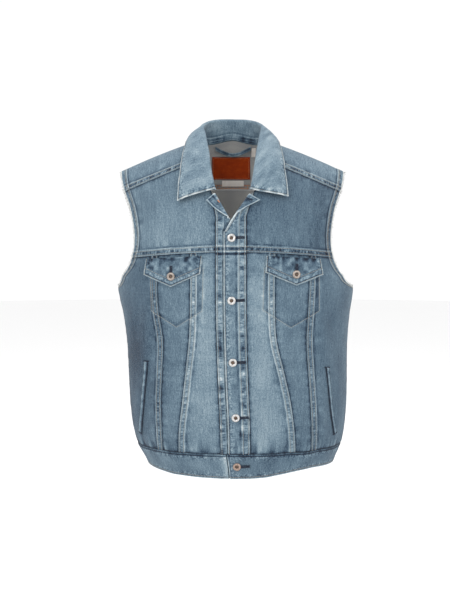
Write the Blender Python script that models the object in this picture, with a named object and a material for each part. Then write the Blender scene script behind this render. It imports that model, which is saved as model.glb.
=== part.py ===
"""Sleeveless denim jacket, filled out as if worn: hollow cloth walls in one body.

Sizes are in millimetres and become metres where a mesh is made. X runs to the right as the
front is seen, the front faces -Y, and Z is up. Z = 0 is the height where shoulder meets neck.
Names ending in _r lie at -X and names ending in _l at +X: the wearer's right and left.
"""

import math
import random

import bmesh
import bpy
import numpy as np

MM = 0.001

# Cloth thicknesses and seams.
SEAM_GAP = 0.3
DENIM = 1.6
PLACKET_CLOTH = 2.6
HEM_CLOTH = 3.0
FLAP_CLOTH = 2.2
COLLAR_CLOTH = 2.4
FELL_WIDTH = 13.0
FELL_RISE = 0.9
FELL_STEP = 0.8
PLACKET_RISE = 1.0
HEM_RISE = 1.4

# Horizontal sections of the garment, one row for each height. The placket column is the free
# front edge of the upper placket.
SECTION_COLUMNS = ("height", "centre", "half_width", "front", "back", "placket")
SECTIONS = (
    (60.0, 0.0, 250.0, 100.0, 100.0, -18.5),
    (-50.0, 0.0, 249.0, 102.0, 103.0, -18.5),
    (-100.0, 0.0, 243.0, 106.0, 108.0, -18.5),
    (-150.0, 0.0, 236.0, 113.0, 113.0, -18.5),
    (-204.0, 0.0, 231.0, 121.0, 116.0, -18.5),
    (-254.0, 2.0, 236.0, 125.0, 116.0, -18.5),
    (-290.0, 5.0, 245.0, 126.0, 114.0, -18.5),
    (-310.0, 7.0, 247.5, 126.0, 112.0, -18.5),
    (-326.0, 7.5, 245.5, 126.0, 111.5, -18.3),
    (-356.0, 8.5, 240.0, 125.0, 110.0, -18.0),
    (-407.0, 10.0, 234.0, 124.0, 108.0, -17.0),
    (-509.0, 12.0, 231.0, 121.0, 108.0, -13.5),
    (-560.0, 13.0, 229.0, 117.0, 107.0, -11.0),
    (-611.0, 14.0, 223.0, 111.0, 105.0, -9.5),
    (-643.0, 15.0, 214.0, 105.0, 101.0, -9.0),
    (-668.0, 17.0, 202.0, 99.0, 96.0, -8.7),
    (-705.0, 18.0, 186.0, 91.0, 90.0, -8.7),
)
FRONT_SQUARENESS = 2.6
BACK_SQUARENESS = 2.8

# Shoulders.
NECK_HALF = 75.0
SHOULDER_SLOPE = 0.33
SHOULDER_BEND = 0.00045
RIDGE_ROUND = 15.0
NAPE_RISE = 16.0
RIDGE_Y = 8.0
FRONT_ROUND_DEPTH = 165.0
BACK_ROUND_DEPTH = 120.0

# Seams on the fronts, X at each height. The outer and inner ones frame the middle panels.
SEAM_COLUMNS = ("height", "outer_r", "inner_r", "inner_l", "outer_l")
FRONT_SEAMS = (
    (-225.0, -151.0, -85.0, 85.0, 157.0),
    (-347.0, -150.0, -85.5, 84.0, 152.0),
    (-409.0, -141.0, -88.0, 88.0, 149.0),
    (-472.0, -143.0, -95.0, 103.0, 153.0),
    (-534.0, -146.0, -102.0, 117.0, 158.0),
    (-600.0, -145.0, -109.5, 126.0, 161.5),
    (-650.0, -143.5, -110.0, 129.0, 162.0),
)
BACK_SEAM_COLUMNS = ("height", "back")
BACK_SEAMS = (
    (-95.0, 128.0),
    (-250.0, 108.0),
    (-450.0, 86.0),
    (-650.0, 74.0),
)

# Armhole edge: distance from X = 0 at each height, on the front and on the back.
ARMHOLE_COLUMNS = ("height", "front", "back")
ARMHOLE = (
    (-60.0, 235.0, 235.0),
    (-90.0, 229.0, 232.0),
    (-112.0, 220.5, 227.0),
    (-140.0, 210.0, 219.0),
    (-170.0, 203.0, 212.0),
    (-208.0, 199.5, 209.0),
    (-245.0, 205.0, 214.0),
    (-268.0, 216.0, 223.0),
    (-284.0, 228.0, 232.0),
)
ARMHOLE_BOTTOM = -308.0

# Heights of the seams that run across, at the middle and their drop towards the sides.
CHEST_SEAM = -231.0
CHEST_DROP = 16.0
YOKE_SEAM = -98.0
YOKE_DROP = 18.0
HEM_SEAM = -643.0
HEM_RAISE = 5.0

# Shoulder seam, moved to the front of the shoulder, and the neckline.
SEAM_AT_NECK = (72.0, -47.0)
SHOULDER_SEAM_SLOPE = 0.40
NAPE_Y = 70.0
NECKLINE_FRONT = ((72.0, -47.0), (67.5, -66.0), (60.0, -86.0), (51.5, -100.0), (43.0, -109.0))

# Plackets.
PLACKET_WIDTH = 45.0
UNDER_SHOWS = 15.5
UNDER_WIDTH = 46.0
PLACKET_TURN = -160.0
CURL_RADIUS = 1.8

# Rows of faces beside the armhole, below it, and on the back above chest level.
ROWS_ARMHOLE = 6
ROWS_BELOW = 9
ROWS_BACK = 5


def table(columns, rows, column, height):
    """One column of a table at any height, on a smooth curve through its rows."""
    rows = np.array(rows)[::-1]
    z, v = rows[:, 0], rows[:, columns.index(column)]
    slope = np.gradient(v, z)
    h = np.clip(np.asarray(height, float), z[0], z[-1])
    i = np.clip(np.searchsorted(z, h) - 1, 0, len(z) - 2)
    step = z[i + 1] - z[i]
    t = (h - z[i]) / step
    level = (2 * t**3 - 3 * t**2 + 1) * v[i] + (3 * t**2 - 2 * t**3) * v[i + 1]
    bend = (t**3 - 2 * t**2 + t) * slope[i] + (t**3 - t**2) * slope[i + 1]
    return level + bend * step


def section(column, height):
    return table(SECTION_COLUMNS, SECTIONS, column, height)


def front_seam(column, height):
    return table(SEAM_COLUMNS, FRONT_SEAMS, column, height)


def ridge(x):
    """Height of the shoulder line. Between the neck points the neck hole cuts it off."""
    r = np.sqrt(np.square(x) + RIDGE_ROUND**2) - NECK_HALF
    crest = np.clip(1 - np.square(np.asarray(x) / NECK_HALF), 0, 1) ** 2
    return -SHOULDER_SLOPE * r - SHOULDER_BEND * r * np.abs(r) + NAPE_RISE * crest


def surface_y(x, z, side):
    """Depth of the outer cloth at x and z, on the front (side -1) or the back (side +1)."""
    front = np.asarray(side) < 0
    power = np.where(front, FRONT_SQUARENESS, BACK_SQUARENESS)
    u = np.clip(np.abs(x - section("centre", z)) / section("half_width", z), 0, 1)
    reach = np.where(front, section("front", z), section("back", z))
    reach = reach * np.sqrt(np.clip(1 - u**power, 0, 1))
    drop = np.clip(ridge(x) - z, 0, None)
    fall = np.clip(drop / np.where(front, FRONT_ROUND_DEPTH, BACK_ROUND_DEPTH), 0, 1)
    front_round = (1 - (1 - fall) ** 2) ** 0.6
    back_round = (1 - (1 - fall) ** 2.2) ** 0.55
    full = np.where(front, front_round, back_round)
    return side * reach * full + RIDGE_Y * (1 - full)


# Broad folds of the cloth: side (-1 on the front and +1 on the back), X, height, tilt in degrees
# from upright, length, width, and rise, where a positive one stands out.
FOLDS = (
    (-1, -196, -372, 12, 130, 13, -3.5),
    (-1, -176, -420, 8, 170, 16, 3.0),
    (-1, -205, -480, 4, 190, 15, -3.0),
    (-1, 206, -380, -14, 140, 14, -3.5),
    (-1, 188, -440, -8, 170, 16, 3.0),
    (-1, 205, -560, -4, 120, 13, -3.0),
    (-1, -60, -500, 6, 200, 20, 2.2),
    (-1, 62, -520, -9, 190, 20, 2.2),
    (-1, -118, -420, 4, 180, 18, -2.0),
    (-1, 128, -470, -7, 200, 17, -2.0),
    (-1, -150, -170, 48, 120, 14, -2.5),
    (-1, 150, -170, -48, 120, 14, -2.5),
    (-1, -100, -200, 30, 90, 14, 2.0),
    (-1, 100, -200, -30, 90, 14, 2.0),
    (-1, 110, -640, 3, 90, 14, -2.6),
    (-1, 150, -640, -3, 90, 13, 2.4),
    (-1, 178, -645, -3, 80, 11, -2.4),
    (-1, -120, -640, 3, 90, 15, 1.8),
    (1, -150, -190, -35, 130, 18, -3.0),
    (1, 150, -190, 35, 130, 18, -3.0),
    (1, -175, -400, -10, 180, 17, 3.0),
    (1, 175, -400, 10, 180, 17, 3.0),
    (1, -200, -480, -4, 180, 15, -3.0),
    (1, 205, -470, 4, 180, 15, -3.0),
    (1, -40, -430, -4, 240, 22, 2.4),
    (1, 45, -480, 5, 240, 22, -2.4),
    (1, -95, -560, -5, 170, 18, -2.4),
    (1, 100, -580, 4, 160, 18, 2.4),
)
FOLD_TOP = -70.0
FOLD_FADE = 70.0


def relief(x, z, side):
    """How far the folds lift the cloth at a place."""
    lift = np.zeros(np.broadcast(x, z).shape)
    for fold_side, fx, fz, tilt, length, width, rise in FOLDS:
        dx, dz = x - fx, z - fz
        a = math.radians(tilt)
        along = dz * math.cos(a) + dx * math.sin(a)
        across = dx * math.cos(a) - dz * math.sin(a)
        reach = np.clip(1 - np.square(2 * along / length), 0, 1)
        lift += np.where(side == fold_side, rise * np.exp(-np.square(across / width)) * reach**2, 0)
    return lift * np.clip((FOLD_TOP - z) / FOLD_FADE, 0, 1)


def wrap_raw(angle, z):
    """Point at an angle round the garment: 0 is the middle of the front, 90 degrees is +X."""
    side = np.where(np.cos(angle) >= 0, -1, 1)
    x = section("centre", z) + section("half_width", z) * np.sin(angle)
    return np.stack(np.broadcast_arrays(x, surface_y(x, z, side), z), -1), side


def wrap(angle, z, lift=0.0):
    """Point on the cloth at an angle and a height, moved out by lift."""
    angle, z = np.broadcast_arrays(np.asarray(angle, float), np.asarray(z, float))
    turn, rise = 0.002, 0.5
    point, side = wrap_raw(angle, z)
    round_about = wrap_raw(angle + turn, z)[0] - wrap_raw(angle - turn, z)[0]
    upward = wrap_raw(angle, z + rise)[0] - wrap_raw(angle, z - rise)[0]
    normal = np.cross(round_about, upward)
    normal /= np.linalg.norm(normal, axis=-1, keepdims=True)
    out = relief(point[..., 0], z, side) * np.abs(np.cos(angle)) ** 0.5 + lift
    return point + normal * out[..., None]


def angle_at(x, z, side=-1):
    """Angle round the garment of the point at x and z on the front or the back."""
    u = np.clip((x - section("centre", z)) / section("half_width", z), -1, 1)
    a = np.arcsin(u)
    return a if side < 0 else math.pi - a


def on_front(x, z, lift=0.0):
    return wrap(angle_at(x, z), z, lift)


PROFILE_DEPTH = 190.0
PROFILE_STEPS = 400


def over_raw(x, w):
    """Point w millimetres from the ridge along the profile at x: behind it where w is positive."""
    x, w = np.broadcast_arrays(np.asarray(x, float), np.asarray(w, float))
    points = np.empty(x.shape + (3,))
    falls = PROFILE_DEPTH * np.linspace(0, 1, PROFILE_STEPS) ** 2
    for place in np.ndindex(x.shape):
        side = 1 if w[place] >= 0 else -1
        z = ridge(x[place]) - falls
        y = surface_y(x[place], z, side)
        y[0] = RIDGE_Y
        length = np.concatenate(([0], np.cumsum(np.hypot(np.diff(y), np.diff(z)))))
        at = abs(w[place])
        points[place] = (x[place], np.interp(at, length, y), np.interp(at, length, z))
    return points


def over(x, w, lift=0.0):
    """Point on the cloth that goes over the shoulders, moved out by lift."""
    x, w = np.broadcast_arrays(np.asarray(x, float), np.asarray(w, float))
    sideways = over_raw(x + 1.0, w) - over_raw(x - 1.0, w)
    onward = over_raw(x, w + 1.5) - over_raw(x, w - 1.5)
    normal = np.cross(sideways, onward)
    normal /= np.linalg.norm(normal, axis=-1, keepdims=True)
    point = over_raw(x, w)
    out = relief(x, point[..., 2], np.where(w >= 0, 1, -1)) + lift
    return point + normal * out[..., None]


def profile_distance(x, z, side):
    """The w of the point at height z on the profile at x."""
    falls = PROFILE_DEPTH * np.linspace(0, 1, PROFILE_STEPS) ** 2
    heights = ridge(x) - falls
    y = surface_y(x, heights, side)
    y[0] = RIDGE_Y
    length = np.concatenate(([0], np.cumsum(np.hypot(np.diff(y), np.diff(heights)))))
    return side * float(np.interp(ridge(x) - z, falls, length))


# Meshes.


def material(name, colour, roughness=0.9, metallic=0.0):
    found = bpy.data.materials.get(name)
    if found:
        return found
    made = bpy.data.materials.new(name)
    made.use_nodes = True
    shader = made.node_tree.nodes["Principled BSDF"]
    shader.inputs["Base Color"].default_value = (*colour, 1.0)
    shader.inputs["Roughness"].default_value = roughness
    shader.inputs["Metallic"].default_value = metallic
    return made


DENIM_BLUE = ("denim", (0.16, 0.25, 0.36))
LEATHER_BROWN = ("leather", (0.42, 0.13, 0.04))
LABEL_CREAM = ("label", (0.78, 0.72, 0.62))
BUTTON_METAL = ("button_metal", (0.72, 0.70, 0.67), 0.3, 1.0)
COPPER = ("copper", (0.60, 0.30, 0.17), 0.35, 1.0)
RAW_COTTON = ("raw_cotton", (0.72, 0.70, 0.66))


def add_object(name, points, faces, finish):
    mesh = bpy.data.meshes.new(name)
    mesh.from_pydata([tuple(p * MM) for p in points], [], faces)
    work = bmesh.new()
    work.from_mesh(mesh)
    bmesh.ops.recalc_face_normals(work, faces=work.faces)
    work.to_mesh(mesh)
    work.free()
    mesh.shade_smooth()
    mesh.set_sharp_from_angle(angle=math.radians(35))
    made = bpy.data.objects.new(name, mesh)
    mesh.materials.append(material(*finish))
    bpy.context.scene.collection.objects.link(made)
    return made


def sheet(name, outer, inner, finish=DENIM_BLUE, ring=False):
    """Closed wall between two grids of points. A ring's rows close on themselves."""
    rows, columns = outer.shape[:2]
    points = np.concatenate((outer.reshape(-1, 3), inner.reshape(-1, 3)))
    under = rows * columns

    def at(i, j, layer):
        return layer * under + i * columns + j % columns

    faces = []
    last = columns if ring else columns - 1
    for i in range(rows - 1):
        for j in range(last):
            faces.append((at(i, j, 0), at(i, j + 1, 0), at(i + 1, j + 1, 0), at(i + 1, j, 0)))
            faces.append((at(i, j, 1), at(i + 1, j, 1), at(i + 1, j + 1, 1), at(i, j + 1, 1)))
    for j in range(last):
        faces.append((at(0, j, 0), at(0, j, 1), at(0, j + 1, 1), at(0, j + 1, 0)))
        foot = rows - 1
        faces.append((at(foot, j, 0), at(foot, j + 1, 0), at(foot, j + 1, 1), at(foot, j, 1)))
    if not ring:
        for i in range(rows - 1):
            faces.append((at(i, 0, 0), at(i + 1, 0, 0), at(i + 1, 0, 1), at(i, 0, 1)))
            side = columns - 1
            faces.append((at(i, side, 0), at(i, side, 1), at(i + 1, side, 1), at(i + 1, side, 0)))
    return add_object(name, points, faces, finish)


def towards(grid, amount, rows=True, columns=True):
    """Draw a grid's edges in by amount, which leaves the gap at its seams."""
    moved = grid.copy()
    if rows:
        for edge, beside in ((0, 1), (-1, -2)):
            way = grid[beside] - grid[edge]
            moved[edge] += amount * way / np.linalg.norm(way, axis=-1, keepdims=True)
    if columns:
        base = moved.copy()
        for edge, beside in ((0, 1), (-1, -2)):
            way = base[:, beside] - base[:, edge]
            moved[:, edge] += amount * way / np.linalg.norm(way, axis=-1, keepdims=True)
    return moved


# Lower panels: rows of equal share between the chest level and the hem seam.


def chest_height(u):
    return CHEST_SEAM - CHEST_DROP * u**2


def yoke_height(u):
    return YOKE_SEAM - YOKE_DROP * u**2


def hem_seam_height(u):
    return HEM_SEAM + HEM_RAISE * u**2


def body_rows():
    """Shares of the way from chest level (0) to hem (1), closer together round the armhole's end."""
    whole = HEM_SEAM + HEM_RAISE - CHEST_SEAM + CHEST_DROP
    share = (ARMHOLE_BOTTOM - CHEST_SEAM + CHEST_DROP) / whole
    above = share * np.sin(np.linspace(0, math.pi / 2, ROWS_ARMHOLE + 1))
    below = np.linspace(share, 1, ROWS_BELOW + 1)[1:]
    return np.concatenate((above, below))


def row_height(share, u):
    """Height of a row at u, the share of the half width. Rows above 0 climb to the back yoke."""
    chest, hem = chest_height(u), hem_seam_height(u)
    return np.where(share >= 0, chest + (hem - chest) * share, chest + (chest - yoke_height(u)) * share)


def armhole_angle(z, side, hand):
    """Angle of the armhole's edge, or of the side seam under it."""
    column = "front" if side < 0 else "back"
    x = hand * table(ARMHOLE_COLUMNS, ARMHOLE, column, np.maximum(z, ARMHOLE[-1][0]))
    top = ARMHOLE[-1][0]
    angle = np.abs(angle_at(x, np.maximum(z, top), -1))
    share = np.clip((top - z) / (top - ARMHOLE_BOTTOM), 0, 1)
    angle = angle + (math.pi / 2 - angle) * (1 - np.sqrt(1 - share**2))
    return hand * (angle if side < 0 else math.pi - angle)


def spaced(start, end, steps_start, steps_end, cells, scale):
    """Columns from start to end with close pairs at a fell's edge beside either end."""
    way = 1 if end > start else -1
    first = [start] + [start + way * s / scale for s in steps_start]
    last = [end - way * s / scale for s in reversed(steps_end)] + [end]
    inner = list(np.linspace(first[-1], last[0], cells + 1)[1:-1])
    return np.array(first + inner + last)


def fell_lifts(count, at_start, at_end):
    lifts = np.zeros(count)
    if at_start:
        lifts[:2] = FELL_RISE
    if at_end:
        lifts[-2:] = FELL_RISE
    return lifts


FELL_STEPS = (FELL_WIDTH, FELL_WIDTH + FELL_STEP)


def lower_panel(name, start, end, side, cells, fell_start=False, fell_end=False, shares=None):
    """Panel between two seams, which start and end give as functions of the height."""
    shares = body_rows() if shares is None else shares
    grid, lifts = [], []
    steps_start = FELL_STEPS if fell_start else ()
    steps_end = FELL_STEPS if fell_end else ()
    for share in shares:
        z0 = row_height(share, 0.0)
        a, b = float(start(z0)), float(end(z0))
        for _ in range(4):
            za, zb = row_height(share, math.sin(a)), row_height(share, math.sin(b))
            a, b = float(start(za)), float(end(zb))
        zm = float(row_height(share, math.sin(0.5 * (a + b))))
        middle = 0.5 * (a + b)
        chord = wrap_raw(np.array([middle + 0.01, middle - 0.01]), zm)[0]
        scale = np.linalg.norm(chord[0] - chord[1]) / 0.02
        angles = spaced(a, b, steps_start, steps_end, cells, scale)
        grid.append((angles, row_height(share, np.sin(angles))))
        lifts.append(fell_lifts(len(angles), fell_start, fell_end))
    angles = np.array([g[0] for g in grid])
    heights = np.array([g[1] for g in grid])
    lifts = np.array(lifts)
    outer = towards(wrap(angles, heights, lifts), SEAM_GAP / 2)
    inner = towards(wrap(angles, heights, -DENIM), SEAM_GAP / 2)
    sheet(name, outer, inner)
    return angles, heights


def seam_angle(column):
    return lambda z: angle_at(front_seam(column, z), z)


def placket_angle(offset):
    return lambda z: angle_at(section("placket", z) + offset, z)


def back_angle(hand):
    return lambda z: hand * angle_at(table(BACK_SEAM_COLUMNS, BACK_SEAMS, "back", z), z, 1)


def other_back_angle(z):
    """The back seam at -X, counted on round the garment from the one at +X."""
    return 2 * math.pi - back_angle(1)(z)


def side_angle(side, hand):
    return lambda z: armhole_angle(z, side, hand)


def make_lower_panels():
    """Fronts and back below the chest seam and the back yoke. Returns the armholes' edges."""
    for letter, offset in (("r", -UNDER_SHOWS), ("l", PLACKET_WIDTH)):
        inner, outer = seam_angle("inner_" + letter), seam_angle("outer_" + letter)
        lower_panel("front_centre_" + letter, placket_angle(offset), inner, -1, 4, fell_end=True)
        lower_panel("front_mid_" + letter, inner, outer, -1, 6)
    edges = {}
    back_shares = np.concatenate((np.linspace(-1, 0, ROWS_BACK + 1)[:-1], body_rows()))
    for hand, letter in ((-1, "r"), (1, "l")):
        outer = seam_angle("outer_" + letter)
        front = lower_panel("front_side_" + letter, outer, side_angle(-1, hand), -1, 8, fell_start=True)
        seam, edge = back_angle(hand), side_angle(1, hand)
        back = lower_panel("back_side_" + letter, seam, edge, 1, 9, shares=back_shares)
        edges[letter] = (front, back)
    fells = {"fell_start": True, "fell_end": True}
    lower_panel("back_centre", back_angle(1), other_back_angle, 1, 9, shares=back_shares, **fells)
    return edges


# Yokes.


def along(points, shares):
    """Points at shares of the length of a line through the given points."""
    points = np.array(points, float)
    length = np.concatenate(([0], np.cumsum(np.linalg.norm(np.diff(points, axis=0), axis=1))))
    at = np.asarray(shares) * length[-1]
    return np.stack([np.interp(at, length, points[:, k]) for k in range(2)], -1)


def shoulder_seam_height(x):
    return SEAM_AT_NECK[1] - SHOULDER_SEAM_SLOPE * (np.abs(x) - SEAM_AT_NECK[0])


def shoulder_corner():
    """Where the shoulder seam meets the armhole's front edge, at +X."""
    x = 215.0
    for _ in range(20):
        x = float(table(ARMHOLE_COLUMNS, ARMHOLE, "front", shoulder_seam_height(x)))
    return x, float(shoulder_seam_height(x))


# A front yoke ends at this share of the half width, where the chest seam meets the armhole.
CHEST_SEAM_END = 0.85
NECK_SHARE = 0.30
NECK_CELLS = 4
SHOULDER_CELLS = 6
ROWS_FRONT_YOKE = 7


def placket_line(hand, z):
    """X of the seam between a front and its placket."""
    offset = PLACKET_WIDTH if hand > 0 else -UNDER_SHOWS
    straight = section("placket", z) + offset
    turn = section("placket", PLACKET_TURN) + offset
    top = hand * NECKLINE_FRONT[-1][0]
    share = np.clip((z - PLACKET_TURN) / (NECKLINE_FRONT[-1][1] - PLACKET_TURN), 0, 1)
    return np.where(z > PLACKET_TURN, turn + (top - turn) * share, straight)


def front_yoke(hand, letter):
    """Front above the chest seam. Returns the points of its armhole edge, from the top down."""
    corner_x, corner_z = shoulder_corner()
    first = placket_line(hand, CHEST_SEAM)
    side = hand * float(table(ARMHOLE_COLUMNS, ARMHOLE, "front", chest_height(CHEST_SEAM_END)))
    neck_shares = np.linspace(0, NECK_SHARE, NECK_CELLS + 1)
    shares = np.concatenate((neck_shares, np.linspace(NECK_SHARE, 1, SHOULDER_CELLS + 1)[1:]))
    bottom_x = first + (side - first) * shares
    half = section("half_width", CHEST_SEAM)
    bottom = np.stack((bottom_x, chest_height((bottom_x - section("centre", CHEST_SEAM)) / half)), -1)
    neck = [(hand * x, z) for x, z in reversed(NECKLINE_FRONT)]
    seam = [(hand * SEAM_AT_NECK[0], SEAM_AT_NECK[1]), (hand * corner_x, corner_z)]
    on_seam = along(seam, np.linspace(0, 1, SHOULDER_CELLS + 1))[1:]
    top = np.concatenate((along(neck, np.linspace(0, 1, NECK_CELLS + 1)), on_seam))
    height = abs(corner_z - bottom[-1, 1])
    fell_end = FELL_STEPS[-1]
    ups = np.concatenate(((0,) + FELL_STEPS, np.linspace(fell_end, height, ROWS_FRONT_YOKE)[1:])) / height
    inner_z = bottom[0, 1] + (top[0, 1] - bottom[0, 1]) * ups
    inner = np.stack((placket_line(hand, inner_z), inner_z), -1)
    outer_z = bottom[-1, 1] + (top[-1, 1] - bottom[-1, 1]) * ups
    outer = np.stack((hand * table(ARMHOLE_COLUMNS, ARMHOLE, "front", outer_z), outer_z), -1)
    bottom[-1] = outer[0]
    s, t = shares[None, :, None], ups[:, None, None]
    grid = (1 - t) * bottom[None] + t * top[None] + (1 - s) * inner[:, None] + s * outer[:, None]
    grid -= (1 - s) * (1 - t) * bottom[0] + s * (1 - t) * bottom[-1]
    grid -= (1 - s) * t * top[0] + s * t * top[-1]
    lifts = np.zeros(grid.shape[:2])
    lifts[:2] = FELL_RISE
    x, z = grid[..., 0], grid[..., 1]
    sheet(
        "front_yoke_" + letter,
        towards(on_front(x, z, lifts), SEAM_GAP / 2),
        towards(on_front(x, z, -DENIM), SEAM_GAP / 2),
    )
    return grid[::-1, -1]


SIDE_NECK_CELLS = 3
BACK_NECK_CELLS = 5
ROWS_BACK_YOKE = 7
YOKE_END_SHARES = (1.0, 0.42, 0.31, 0.0)
RIDGE_BULGE = 9.0
NECK_CLEAR = 3.0


def distance_at_depth(x, y):
    """The w behind the ridge where the profile at x reaches the depth y."""
    heights = ridge(x) - PROFILE_DEPTH * np.linspace(0, 1, PROFILE_STEPS) ** 2
    depths = surface_y(x, heights, 1)
    depths[0] = RIDGE_Y
    length = np.concatenate(([0], np.cumsum(np.hypot(np.diff(depths), np.diff(heights)))))
    return float(np.interp(y, np.maximum.accumulate(depths), length))


def neck_start(share):
    """Edge of the back yoke at +X, from the armhole (0) by the shoulder seam and neck to the middle (3)."""
    corner_x = shoulder_corner()[0]
    if share <= 1:
        x = corner_x + (SEAM_AT_NECK[0] - corner_x) * share
        return x, profile_distance(x, shoulder_seam_height(x), -1)
    seam_w = profile_distance(SEAM_AT_NECK[0], SEAM_AT_NECK[1], -1)
    if share <= 2:
        return SEAM_AT_NECK[0] + (NECK_HALF - SEAM_AT_NECK[0]) * (share - 1), seam_w * (2 - share)
    turn = (share - 2) * math.pi / 2
    x = NECK_HALF * math.cos(turn)
    return x, distance_at_depth(x, RIDGE_Y + (NAPE_Y - RIDGE_Y) * math.sin(turn))


def back_yoke(end_x):
    """Back yoke, over the shoulders to the seams at their front. end_x is its end at the armhole."""
    half = np.concatenate(
        (
            np.linspace(0, 1, SHOULDER_CELLS + 1),
            np.linspace(1, 2, SIDE_NECK_CELLS + 1)[1:],
            np.linspace(2, 3, BACK_NECK_CELLS + 1)[1:],
        )
    )
    starts = [neck_start(share) for share in half]
    ends = [end_x * float(np.interp(share, (0, 1, 2, 3), YOKE_END_SHARES)) for share in half]
    columns = []
    for (x0, w0), x1 in zip(starts, ends):
        z1 = yoke_height(x1 / float(section("half_width", YOKE_SEAM)))
        w1 = profile_distance(x1, z1, 1)
        length = math.hypot(x1 - x0, w1 - w0)
        near = np.array((0,) + FELL_STEPS) / length
        middle = np.linspace(near[-1], 1 - near[-1], ROWS_BACK_YOKE + 1)[1:-1]
        t = np.concatenate((near, middle, 1 - near[::-1]))
        x, w = x0 + (x1 - x0) * t, w0 + (w1 - w0) * t
        x = x + RIDGE_BULGE * np.clip(4 * t * (1 - t), 0, 1) * (x / end_x) ** 8
        columns.append((x, w))
    x = np.array([c[0] for c in columns]).T
    w = np.array([c[1] for c in columns]).T
    x = np.concatenate((-x, x[:, -2::-1]), axis=1)
    w = np.concatenate((w, w[:, -2::-1]), axis=1)
    lifts = np.zeros(x.shape)
    lifts[-2:] = FELL_RISE
    seam = (np.abs(x[0]) >= SEAM_AT_NECK[0] + NECK_CLEAR) & (w[0] < 0)
    lifts[:2, seam] = FELL_RISE
    inner = towards(over(x, w, -DENIM), SEAM_GAP / 2)
    sheet("back_yoke", towards(over(x, w, lifts), SEAM_GAP / 2), inner)
    return x[:, -1], w[:, -1]


# Plackets and their lapels. The foot and head of a lapel's fold are X and Z. Then come pairs of a
# distance up the fold and how far the turned corner lies beyond it there, and the slant of its
# top edge.
LAPELS = {
    "l": ((-17.5, -187.3), (31.8, -115.6), ((0, 0.6), (40, 2.5), (60, 10), (75, 19), (87, 25.8)), -2.0),
    "r": ((-9.5, -157.0), (-34.6, -114.6), ((0, 0.6), (15, 5), (30, 13), (49.5, 22.4)), 5.0),
}
TURN_CELLS = 4
FLAT_CELLS = 2
STRIP_CELLS = 4
EDGE_STRIP = 4.0
ROWS_STRIP = 9
STRIP_TOP = -205.0
STRIP_EXTRA = 15.0
STRIP_LAST = (12.0, 6.0, 2.5)
STRIP_MORE = 3
STRIP_EASE = 0.5
ROWS_LAPEL = 9
LAPEL_EASE = 8.0
UNDER_DROP = -2.7
UNDER_STEP = 1.1
UNDER_CLEAR = 1.0
UNDER_BEFORE = 3.0
UNDER_AFTER = 1.5
UNDER_TAPER = 0.45
UNDER_RISE = 0.6


def upper_lift(x, z):
    return PLACKET_RISE + 0 * np.asarray(x)


def under_edge(z):
    """X where the under placket goes behind the upper one's free edge or its lapel."""
    foot, head = LAPELS["l"][0], LAPELS["l"][1]
    slope = (head[0] - foot[0]) / (head[1] - foot[1])
    return section("placket", z) - UNDER_STEP - UNDER_CLEAR + np.clip(z - foot[1], 0, None) * slope


def under_lift(x, z):
    share = np.clip((x - (under_edge(z) - UNDER_STEP)) / (2 * UNDER_STEP), 0, 1)
    return PLACKET_RISE * UNDER_RISE * (1 - share) + UNDER_DROP * share


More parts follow.
